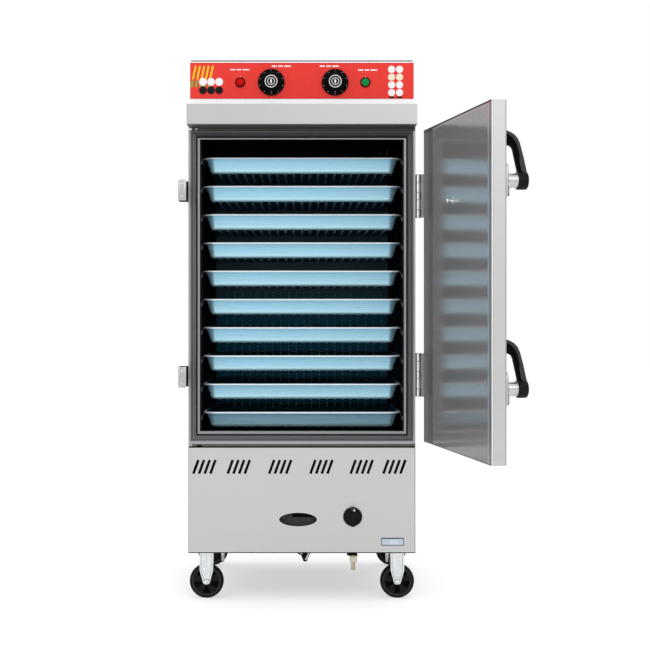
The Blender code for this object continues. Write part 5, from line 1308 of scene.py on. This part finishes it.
def build_left_motif():
    """Leaning stripes, and a row of light discs over a row of dark ones."""
    pieces = []
    for step in range(STRIPES):
        out = STRIPE_OUT + step * STRIPE_STEP_OUT
        for name, (x, z), size, look in STRIPE_ROWS:
            pieces.append(printed_bar(name, x + step * STRIPE_PITCH, z, size, look, out, STRIPE_LEAN))
    for step in range(LEFT_DISCS):
        x = LEFT_DISC_X + step * LEFT_DISC_PITCH
        for name, z, look in LEFT_DISC_ROWS:
            pieces.append(printed_disc(name, x, z, LEFT_DISC_RADIUS, LEFT_DISC_OUT, look))
    trim_on(joined("left_motif", *pieces), "cabinet")


def build_right_motif():
    """Two columns of light discs over two dark bars."""
    pieces = []
    for row, look in enumerate(RIGHT_DISC_LOOKS):
        z = RIGHT_DISC_TOP - row * RIGHT_DISC_PITCH
        for x in RIGHT_COLUMNS:
            pieces.append(printed_disc("right_disc", x, z, RIGHT_DISC_RADIUS, RIGHT_DISC_OUT, look))
    for x in RIGHT_COLUMNS:
        pieces.append(printed_bar("right_bar", x, RIGHT_BAR_Z, RIGHT_BAR_SIZE, "print_black", DASH_OUT))
    trim_on(joined("right_motif", *pieces), "cabinet")


def build_dashes():
    """Rows of plain dashes over the dials and lamps."""
    for name, x, z, tall in DASH_ROWS:
        dashes = [
            printed_bar("dash", x + middle, z, (width, tall), "print_white", DASH_OUT)
            for middle, width in DASH_WORDS
        ]
        trim_on(joined(f"dashes_{name}", *dashes), "cabinet")


# Gas knob
GAS_KNOB_AXIS = (0.152, 0.252)
GAS_KNOB_PROFILE = (
    (0.0272, 0.0002), (0.0285, 0.0020), (0.0285, 0.0060), (0.0274, 0.0076), (0.0230, 0.0086),
    (0.0222, 0.0100), (0.0212, 0.0170), (0.0190, 0.0180),
)
GAS_DOT_PROFILE = ((0.0027, 0.0), (0.0027, 0.0005), (0.0016, 0.0008))
KNOB_SKIRT = 0.0080
GRIP_LEFT, GRIP_RIGHT, GRIP_HALF, GRIP_IN, GRIP_EDGE = 0.0064, 0.0070, 0.0266, 0.0002, 0.0022
GRIP_SHADE_LEFT, GRIP_SHADE_RIGHT, GRIP_SHADE_HALF, GRIP_SHADE_IN = 0.0076, 0.0060, 0.0215, 0.0060
GAS_DOT_ASIDE, GAS_DOT_IN, GAS_DOT_RISE = 0.0038, 0.0004, 0.0226


def build_gas_knob():
    """A round knob with a raised grip across it, a black strip along the grip's left side painted as its shade,
    and a white dot.
    """
    low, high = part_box("gas_knob")
    (x, z), front, back = GAS_KNOB_AXIS, low.y, high.y
    knob = turned("gas_knob_body", GAS_KNOB_PROFILE, (x, back, z), "black_satin", "front", 56)
    start = (x - GRIP_LEFT, front + GRIP_IN, z - GRIP_HALF)
    end = (x + GRIP_RIGHT, back - KNOB_SKIRT, z + GRIP_HALF)
    grip = block("gas_knob_grip", start, end, "black_satin", GRIP_EDGE, 3)
    # A black strip beside the grip: painted shade of the grip's left side
    start = (x - GRIP_SHADE_LEFT, front + GRIP_SHADE_IN, z - GRIP_SHADE_HALF)
    end = (x - GRIP_SHADE_RIGHT, back - KNOB_SKIRT, z + GRIP_SHADE_HALF)
    grip_shade = block("gas_knob_grip_shade", start, end, "hollow_black")
    place = (x + GAS_DOT_ASIDE, front + GAS_DOT_IN, z + GAS_DOT_RISE)
    dot = turned("gas_knob_dot", GAS_DOT_PROFILE, place, "white_print", "front", 20)
    stand_for(joined("gas_knob_pieces", knob, grip, grip_shade), "gas_knob")
    trim_on(dot, BODY_OF["gas_knob"])


# Label: each layer's name, insets from the window's left, right, bottom and top, reach, finish and edge
LABEL_LEFT, LABEL_RIGHT, LABEL_BOTTOM, LABEL_TOP = 0.2385, 0.3050, 0.1660, 0.1880
LABEL_BACK = 0.0016
LABEL_LAYERS = (
    # label_shade: a slate layer round the plate, widest at the top: painted shadow of the window's edges
    ("label_shade", (-0.0012, -0.0012, -0.0012, -0.0010), (0.0001, LABEL_BACK), "window_shadow_slate", 0.0003),
    ("label_plate", (0.0012, 0.0012, 0.0010, 0.0030), (0.0003, LABEL_BACK), "label_white", 0.0002),
    ("label_patch", (0.0240, 0.0160, 0.0020, 0.0056), (0.0005, 0.0), "label_pale", 0.0),
)


def build_label():
    """A blank label set in its window in the base panel, with a slate layer round it painted as the window's
    shadow.
    """
    layers = []
    for name, (left, right, bottom, top), (out, behind), look, edge in LABEL_LAYERS:
        low = (LABEL_LEFT + left, FRONT_Y - out, LABEL_BOTTOM + bottom)
        high = (LABEL_RIGHT - right, FRONT_Y + behind, LABEL_TOP - top)
        layers.append(block(name, low, high, look, edge, 1))
    shade, plate, patch = layers
    trim_on(shade, "cabinet")
    trim_on(joined("label_plate", plate, patch), "cabinet")


# Screws: shares of the head's radius
SCREW_PROFILE_SHARES = ((1, 0), (1, 0.25), (0.85, 0.5), (0.5, 0.62))
SLOT_SHARES = ((1.1, 0.5, 0.25), (0.25, 0.5, 1.1))
SLOT_MIDDLE_SHARE = 0.6


def cross_screw(name, place, radius, body, facing="front", on_door=False):
    """A pan-headed screw with a cross in it."""
    profile = tuple((radius * across, radius * rise) for across, rise in SCREW_PROFILE_SHARES)
    head = turned(name, profile, place, "bright_steel", facing, 20)
    reach = radius * SLOT_MIDDLE_SHARE
    offset = Vector((0, -reach, 0)) if facing == "front" else Vector((math.copysign(reach, place[0]), 0, 0))
    middle = Vector(place) + offset
    for shares in SLOT_SHARES:
        size = Vector([radius * share for share in shares])
        if facing != "front":
            size = Vector((size.y, size.x, size.z))
        cut_with(head, block("slot", middle - size / 2, middle + size / 2, "bright_steel"))
    if on_door:
        swung(head)
    trim_on(round_off(head), body)


# Latches: outlines run outwards from the door's face and up from the pivot
LATCH_X = -0.312
LATCH_HEIGHTS = {"upper": 1.20344, "lower": 0.67102}
OUTWARD, UPWARD = (0, -1, 0), (0, 0, 1)
LEVER_OUTER = (
    (0.0575, 0.0040), (0.0575, 0.0240), (0.0488, 0.0620), (0.0396, 0.0950),
    (0.0338, 0.1075), (0.0250, 0.1170), (0.0130, 0.1240), (0.0030, 0.1272),
)
LEVER_MIDDLE = (
    (0.0462, 0.0040), (0.0462, 0.0240), (0.0396, 0.0600), (0.0330, 0.0860),
    (0.0278, 0.0980), (0.0210, 0.1075), (0.0118, 0.1145), (0.0030, 0.1180),
)
LEVER_INNER = (
    (0.0362, 0.0040), (0.0362, 0.0215), (0.0290, 0.0530), (0.0236, 0.0770),
    (0.0200, 0.0850), (0.0146, 0.0888), (0.0090, 0.0903), (0.0030, 0.0908),
)
LEVER_RIDGE = (
    ((0.0472, 0.0230), (0.0452, 0.0230)),
    ((0.0440, 0.0420), (0.0412, 0.0420)),
    ((0.0400, 0.0600), (0.0388, 0.0600)),
)
LEVER_WIDTH, LEVER_WEB, LEVER_EDGE = 0.0240, 0.0120, 0.0016
RIDGE_SHARE = 0.8
HUB_PROFILE = (
    (0.0200, 0.0340), (0.0226, 0.0346), (0.0236, 0.0362), (0.0236, 0.0560),
    (0.0226, 0.0592), (0.0200, 0.0608), (0.0120, 0.0612),
)
POST_PROFILE = (
    (0.0190, 0.0073), (0.0190, 0.0250), (0.0184, 0.0254), (0.0184, 0.0262), (0.0190, 0.0266),
    (0.0190, 0.0315), (0.0184, 0.0321), (0.0184, 0.0328), (0.0190, 0.0334), (0.0190, 0.0352),
    (0.0182, 0.0360),
)
LATCH_BASE_PROFILE = ((0.0198, 0.0003), (0.0200, 0.0012), (0.0200, 0.0054), (0.0186, 0.0068))
LATCH_BASE_REACH = 0.0260
TONGUE_HALF, TONGUE_LENGTH, TONGUE_OUT, TONGUE_IN, TONGUE_EDGE = 0.008, 0.040, 0.0125, 0.0085, 0.0012
LATCH_SCREW_OUT, LATCH_SCREW_REACH, LATCH_SCREW_RADIUS = 0.0066, 0.0370, 0.0044


def latch_lever(level, out, z):
    """A thick outer flange painted a lighter black as lit, a thin inner web near-black as painted shade, a ridge
    painted grey as a highlight, and the hub.
    """
    parts = []
    for name, rungs, width, look in (
        ("lever_flange", zip(LEVER_OUTER, LEVER_MIDDLE), LEVER_WIDTH, "flange_lit_black"),
        ("lever_web", zip(LEVER_MIDDLE, LEVER_INNER), LEVER_WEB, "hollow_black"),
        ("lever_ridge", LEVER_RIDGE, LEVER_WIDTH * RIDGE_SHARE, "ridge_highlight"),
    ):
        part = strip(name, tuple(rungs), width, look)
        parts.append(set_in(part, OUTWARD, UPWARD, (LATCH_X + width / 2, out, z)))
    soften(parts[0], LEVER_EDGE, 3)
    parts.append(turned("lever_hub", HUB_PROFILE, (LATCH_X, out, z), "black_satin", "front", 48))
    return joined(f"latch_handle_{level}", *parts)


def latch_cam(level, out, z):
    """The ringed post, and the tongue that goes behind the keeper."""
    post = turned("post", POST_PROFILE, (LATCH_X, out, z), "post_steel", "front", 56)
    low = (LATCH_X - TONGUE_HALF, out - TONGUE_OUT, z - TONGUE_LENGTH)
    high = (LATCH_X + TONGUE_HALF, out - TONGUE_IN, z)
    tongue = block("tongue", low, high, "tongue_black", TONGUE_EDGE)
    return joined(f"latch_post_{level}", post, tongue)


def latch_base(level, out, z):
    """A round base drawn out upwards and downwards."""
    name = f"latch_plate_{level}"
    base = turned(name, LATCH_BASE_PROFILE, (LATCH_X, out, z), "latch_zinc", "front", 48)
    opened(base)
    for sign in (1, -1):
        pick("VERT", lambda at: sign * (at.z - z) > ON_PLANE)
        bpy.ops.transform.translate(value=(0, 0, sign * LATCH_BASE_REACH))
    closed()
    return round_off(base)


def build_latch(level):
    """The lever on its hub, post and base."""
    z, out = LATCH_HEIGHTS[level], DOOR_OUTER_Y
    stand_for(swung(latch_lever(level, out, z)), f"latch_lever_{level}")
    stand_for(swung(latch_cam(level, out, z)), f"latch_cam_{level}")
    stand_for(swung(latch_base(level, out, z)), f"latch_base_{level}")
    for end, sign in (("top", 1), ("bottom", -1)):
        place = (LATCH_X, out - LATCH_SCREW_OUT, z + sign * LATCH_SCREW_REACH)
        cross_screw(f"latch_screw_{end}_{level}", place, LATCH_SCREW_RADIUS, "door", on_door=True)


# Keepers: a web behind the front face, bent back to the wall and forward to the lip
KEEPER_SHEET, KEEPER_WALL, KEEPER_WEB = 0.0025, -0.3403, 0.0020
KEEPER_EDGE = 0.0005
KEEPER_SHADE_IN, KEEPER_SHADE_BACK = 0.0008, 0.0100
KEEPER_SCREW_ASIDE, KEEPER_SCREW_OUT, KEEPER_SCREW_RADIUS = 0.0118, 0.0002, 0.0036
KEEPER_SCREW_SHARES = {"top": 0.80, "bottom": 0.20}


def build_keeper(level):
    """The bent strip on the left wall: a flange, a web and the lip that the tongue goes behind, black inside as
    painted shade.
    """
    low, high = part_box(f"keeper_{level}")
    sheet, wall, outer = KEEPER_SHEET, KEEPER_WALL, low.x
    web = FRONT_Y + KEEPER_WEB
    lip = low.y
    height = high.z - low.z
    rungs = (
        ((wall, high.y), (wall - sheet, high.y)),
        ((wall, web + 0.0040), (wall - sheet, web + 0.0052)),
        ((wall - 0.0012, web + 0.0012), (wall - sheet - 0.0010, web + sheet + 0.0008)),
        ((wall - 0.0040, web), (wall - sheet - 0.0030, web + sheet)),
        ((outer + 0.0060, web), (outer + 0.0040, web + sheet)),
        ((outer + 0.0034, web - 0.0012), (outer + 0.0012, web + sheet - 0.0012)),
        ((outer + sheet, web - 0.0040), (outer, web - 0.0030)),
        ((outer + sheet, lip + 0.0065), (outer, lip + 0.0050)),
        ((outer + 0.0034, lip + 0.0034), (outer + 0.0012, lip + 0.0012)),
        ((outer + 0.0060, lip + sheet), (outer + 0.0050, lip)),
        ((outer + 0.0240, lip + sheet), (outer + 0.0240, lip)),
    )
    keeper = strip(f"keeper_strip_{level}", rungs, height, "keeper_sheet")
    set_in(keeper, (1, 0, 0), (0, 1, 0), (0, 0, low.z))
    soften(keeper, KEEPER_EDGE)
    shade_back, shade_left = lip + KEEPER_SHADE_BACK, outer + KEEPER_SHADE_IN
    # The inside behind the lip is black: painted shade
    paint_part(keeper, "tongue_black", lambda at: at.y > shade_back and at.x > shade_left)
    stand_for(keeper, f"keeper_{level}")
    for end, share in KEEPER_SCREW_SHARES.items():
        place = (outer + KEEPER_SCREW_ASIDE, lip - KEEPER_SCREW_OUT, low.z + share * height)
        cross_screw(f"keeper_screw_{end}_{level}", place, KEEPER_SCREW_RADIUS, "cabinet")


# Hinges
KNUCKLE_SHARES = (0.0, 0.1876, 0.4164, 0.5796, 0.8122, 1.0)
KNUCKLE_GAP, SLEEVE_RADIUS, SLEEVE_EDGE = 0.0004, 0.0078, 0.0007
HINGE_SCREW_SHARES = (0.15, 0.50, 0.85)
HINGE_SCREW_OUT, HINGE_SCREW_Y, HINGE_SCREW_RADIUS = 0.0026, -0.2985, 0.0040


def build_hinges():
    """Sleeves on the knuckles, in turn on the door and the cabinet, and screw heads on the wall's leaves."""
    radius, soft = SLEEVE_RADIUS, SLEEVE_EDGE
    end_radius = radius - soft
    for level in ("upper", "lower"):
        low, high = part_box(f"hinge_frame_leaf_{level}")
        span = high.z - low.z
        for step, (start, end) in enumerate(zip(KNUCKLE_SHARES, KNUCKLE_SHARES[1:])):
            bottom, top = low.z + start * span + KNUCKLE_GAP, low.z + end * span - KNUCKLE_GAP
            profile = ((end_radius, bottom), (radius, bottom + soft), (radius, top - soft), (end_radius, top))
            # The sleeves carry painted highlight and reflection: bright where they face the view, dark or grey
            # towards their sides
            body, look = ("cabinet", "barrel_grey") if step % 2 else ("door", "barrel_dark")
            place = (HINGE_PLACE.x, HINGE_PLACE.y, 0)
            trim_on(turned(f"hinge_sleeve_{level}_{step}", profile, place, look, sides=40), body)
        for step, share in enumerate(HINGE_SCREW_SHARES):
            place = (HALF_WIDTH + HINGE_SCREW_OUT, HINGE_SCREW_Y, low.z + share * span)
            cross_screw(f"hinge_screw_{level}_{step}", place, HINGE_SCREW_RADIUS, "cabinet", "right")


# Trims on the door: rims on the free edge, the inner one pale as a painted highlight, lines along the top and
# bottom, folds painted as highlight and shade, and a dark band inside by the hinge as a painted reflection
RIM_OUT, RIM_BACK, RIM_WIDTH, RIM_INSET = 0.00004, 0.0010, 0.0028, 0.0002
FOLD_SHADE_START, FOLD_START, FOLD_END = 0.0006, 0.0190, 0.0320
TRIM_OUT, FOLD_OUT, LINE_OUT = 0.0004, 0.0006, 0.0005
TOP_LINE, TOP_FOLD_START, TOP_FOLD_END = 0.0040, 0.0060, 0.0110
LOW_LINE, FOLDS_BOTTOM = 0.0022, 0.0020
HINGE_REFLECTION_WIDTH = 0.1000
DOOR_STUD_PLACE = (0.0270, DOOR_INNER_Y, 1.1750)
DOOR_STUD_PROFILE = (
    (0.0105, 0), (0.0105, -0.0010), (0.0084, -0.0018), (0.0034, -0.0026), (0.0034, -0.0110),
    (0.0058, -0.0122), (0.0062, -0.0150), (0.0050, -0.0168), (0.0024, -0.0174),
)


def build_door_trims():
    """Seams and folds round the door's inner face and free edge, with painted highlight, shade and reflection, and
    a stud on the inner panel.
    """
    inner, outer, free, hinged = DOOR_INNER_Y, DOOR_OUTER_Y, -DOOR_HALF, DOOR_HALF
    low, high = DOOR_LOW_Z, DOOR_HIGH_Z
    rim = (free - RIM_OUT, free + RIM_BACK)
    # Each trim's name, sides, depths, heights and finish
    for name, sides, depths, heights, look in (
        # A dark strip and a pale strip on the inner face by the free edge: painted shade and highlight of the fold
        ("door_fold_shade", (free + FOLD_SHADE_START, free + FOLD_START), (inner, inner + TRIM_OUT),
         (low + FOLDS_BOTTOM, high - TOP_LINE), "fold_shade_sheet"),
        ("door_fold", (free + FOLD_START, free + FOLD_END), (inner, inner + FOLD_OUT),
         (low + FOLDS_BOTTOM, high - TOP_LINE), "fold_highlight_sheet"),
        # The inner rim is pale: a painted highlight along the free edge
        ("door_rim_inner", rim, (inner - RIM_WIDTH, inner - RIM_INSET), (low, high), "pale_sheet"),
        ("door_rim_outer", rim, (outer + RIM_INSET, outer + RIM_WIDTH), (low, high), "rim_grey"),
        ("door_top_line", (rim[1], hinged), (inner - TRIM_OUT, inner + LINE_OUT),
         (high - TOP_LINE, high), "seam_and_shade_dark"),
        # A pale strip under the top line: painted highlight of the top fold
        ("door_top_fold", (free + FOLD_END, hinged), (inner, inner + TRIM_OUT),
         (high - TOP_FOLD_END, high - TOP_FOLD_START), "fold_highlight_sheet"),
        ("door_low_line", (rim[1], hinged), (inner - TRIM_OUT, inner + LINE_OUT),
         (low, low + LOW_LINE), "seam_grey"),
        # A dark band on the inner face by the hinge: painted reflection
        ("door_hinge_reflection", (hinged - HINGE_REFLECTION_WIDTH, hinged), (inner - TRIM_OUT, inner + TRIM_OUT),
         (low + LOW_LINE, high - TOP_LINE), "hinge_reflection_dark"),
    ):
        start, end = zip(sides, depths, heights)
        trim_on(swung(block(name, start, end, look)), "door")
    stud = turned("door_stud", DOOR_STUD_PROFILE, DOOR_STUD_PLACE, "white_steel", "front", 24)
    trim_on(swung(stud), "door")


# Under the body
INLET_ASIDE = 0.0040
INLET_NUT_BOTTOM = 0.1062
INLET_RING_PROFILE = ((0.0134, 0.1252), (0.0136, 0.1260), (0.0136, 0.1300), (0.0100, 0.1308))
INLET_NECK = 0.0085
INLET_NUT_PROFILE = ((0.0112, INLET_NUT_BOTTOM), (0.0132, 0.1080), (0.0132, 0.1240), (0.0118, 0.1252))
TAIL_BORE_EDGE, TAIL_START = 0.0044, 0.0006
BARBS, BARB_PITCH, BARB_RISE = 4, 0.0052, 0.0048
BARB_RADIUS, TAIL_RADIUS = 0.0066, 0.0052
BRACKET_LOW, BRACKET_HIGH, BRACKET_EDGE = (0.1359, -0.2900, 0.1290), (0.1665, -0.2870, 0.1410), 0.0010
DRAIN_ASIDE, DRAIN_FRONT = 0.0030, 0.0160
DRAIN_PROFILE = (
    (0.0050, 0.0), (0.0064, 0.0006), (0.0078, 0.0060), (0.0124, 0.0170),
)
DRAIN_TOP_PROFILE = ((0.0124, 0.1340), (0.0110, 0.1366))
# Each flat piece in front of the drain: name, finish, thickness and rungs
DRAIN_FLATS = (
    ("drain_wing", "tongue_black", 0.0012, (
        ((-0.0230, 0.1440), (0.0100, 0.1440)), ((-0.0130, 0.1290), (0.0100, 0.1290)),
        ((0.0000, 0.1230), (0.0100, 0.1200)),
    )),
    # A polished strip on the dark wing: painted highlight
    ("drain_wing_highlight", "polished_steel", 0.0016, (
        ((-0.0070, 0.1340), (-0.0010, 0.1340)), ((-0.0040, 0.1290), (0.0010, 0.1280)),
    )),
    ("drain_bar", "tongue_black", 0.0012, (
        ((0.0215, 0.1440), (0.0350, 0.1440)), ((0.0060, 0.1090), (0.0150, 0.1090)),
        ((0.0070, 0.1050), (0.0110, 0.1050)),
    )),
    ("drain_bar_face", "white_steel", 0.0018, (
        ((0.0240, 0.1400), (0.0264, 0.1400)), ((0.0094, 0.1110), (0.0118, 0.1110)),
    )),
    ("drain_bar_edge", "polished_steel", 0.0018, (
        ((0.0300, 0.1400), (0.0322, 0.1400)), ((0.0128, 0.1100), (0.0142, 0.1090)),
    )),
)


def build_gas_inlet():
    """The brass union under the base: a bracket painted black as the shade under the base, a ring, a plated
    hexagon and a ribbed hose tail.
    """
    low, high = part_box("gas_inlet")
    place = ((low.x + high.x) / 2 + INLET_ASIDE, (low.y + high.y) / 2, 0)
    ring_profile = (*INLET_RING_PROFILE, (INLET_NECK, high.z))
    ring = turned("inlet_ring", ring_profile, place, "brass", sides=32)
    nut = turned("inlet_nut", INLET_NUT_PROFILE, place, "nickel_plate", sides=6)
    z = low.z + TAIL_START
    tail = [(TAIL_BORE_EDGE, low.z), (TAIL_RADIUS, z)]
    for _ in range(BARBS):
        tail += [(BARB_RADIUS, z + BARB_RISE), (TAIL_RADIUS, z + BARB_PITCH)]
        z += BARB_PITCH
    tail += [(TAIL_RADIUS, INLET_NUT_BOTTOM)]
    hose_tail = turned("inlet_tail", tail, place, "tail_brass", sides=32)
    stand_for(joined("gas_inlet_pieces", ring, nut, hose_tail), "gas_inlet")
    trim_on(block("inlet_bracket", BRACKET_LOW, BRACKET_HIGH, "hollow_black", BRACKET_EDGE), "cabinet")


def build_drain():
    """The drain valve's dark spout, with a wing and a slanted bar in front of it."""
    low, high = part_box("drain_valve")
    x, y = (low.x + high.x) / 2, (low.y + high.y) / 2
    spout = tuple((radius, low.z + rise) for radius, rise in DRAIN_PROFILE)
    profile = (*spout, *DRAIN_TOP_PROFILE, (DRAIN_TOP_PROFILE[-1][0], high.z))
    outlet = turned("drain_outlet", profile, (x - DRAIN_ASIDE, y, 0), "tongue_black", sides=44)
    stand_for(outlet, "drain_valve")
    for name, look, thickness, rungs in DRAIN_FLATS:
        piece = strip(name, rungs, thickness, look)
        trim_on(set_in(piece, (1, 0, 0), (0, 0, 1), (0, y - DRAIN_FRONT, 0)), "cabinet")


# Sight hole
SIGHT_PLACE = (-0.0115, FRONT_Y, 0.2430)
SIGHT_HALF_WIDTH, SIGHT_HALF_HEIGHT, SIGHT_LIP = 0.0586, 0.0214, 0.0012
SHADE_BAND_LOW, SHADE_BAND_HIGH = (-0.0289, -0.3060, 0.2479), (0.0301, -0.3050, 0.2602)
BACKING_LOW, BACKING_HIGH = (-0.0760, -0.2990, 0.2050), (0.0520, -0.2980, 0.2780)


def build_sight_hole():
    """The black band behind the sight hole, which hides the burner's front, and a dark backing behind it, both
    painted shade, and the hole's bright lip, a painted highlight.
    """
    trim_on(block("sight_shade_band", SHADE_BAND_LOW, SHADE_BAND_HIGH, "hollow_black"), "cabinet")
    trim_on(block("sight_backing", BACKING_LOW, BACKING_HIGH, "sight_shade_backing"), "cabinet")
    lip = flat_ring("sight_lip", SIGHT_HALF_WIDTH, SIGHT_LIP, SIGHT_PLACE, "pale_sheet")
    opened(lip)
    flattening = (1, 1, SIGHT_HALF_HEIGHT / SIGHT_HALF_WIDTH)
    bpy.ops.transform.resize(value=flattening, center_override=SIGHT_PLACE)
    bpy.ops.object.mode_set(mode="OBJECT")
    trim_on(lip, "cabinet")


set_studio()
make_finishes()
paint_nodes()
build_trays()
build_back_sheet()
build_gasket()
build_wheels()
build_fork_faces()
build_brake_tabs()
build_doorway_strip()
build_frame_lines()
build_hood_lines()
build_corner_clip()
build_panel_lines()
build_runner_ends()
build_vent_ring()
for dial_node, dial_figures in DIAL_FIGURES.items():
    build_dial(dial_node, dial_figures)
build_lamp("power_lamp", "lamp_red")
build_lamp("heating_lamp", "lamp_green")
build_borders()
build_left_motif()
build_right_motif()
build_dashes()
build_gas_knob()
build_label()
for latch_level in LATCH_HEIGHTS:
    build_latch(latch_level)
    build_keeper(latch_level)
build_hinges()
build_door_trims()
build_gas_inlet()
build_drain()
build_sight_hole()
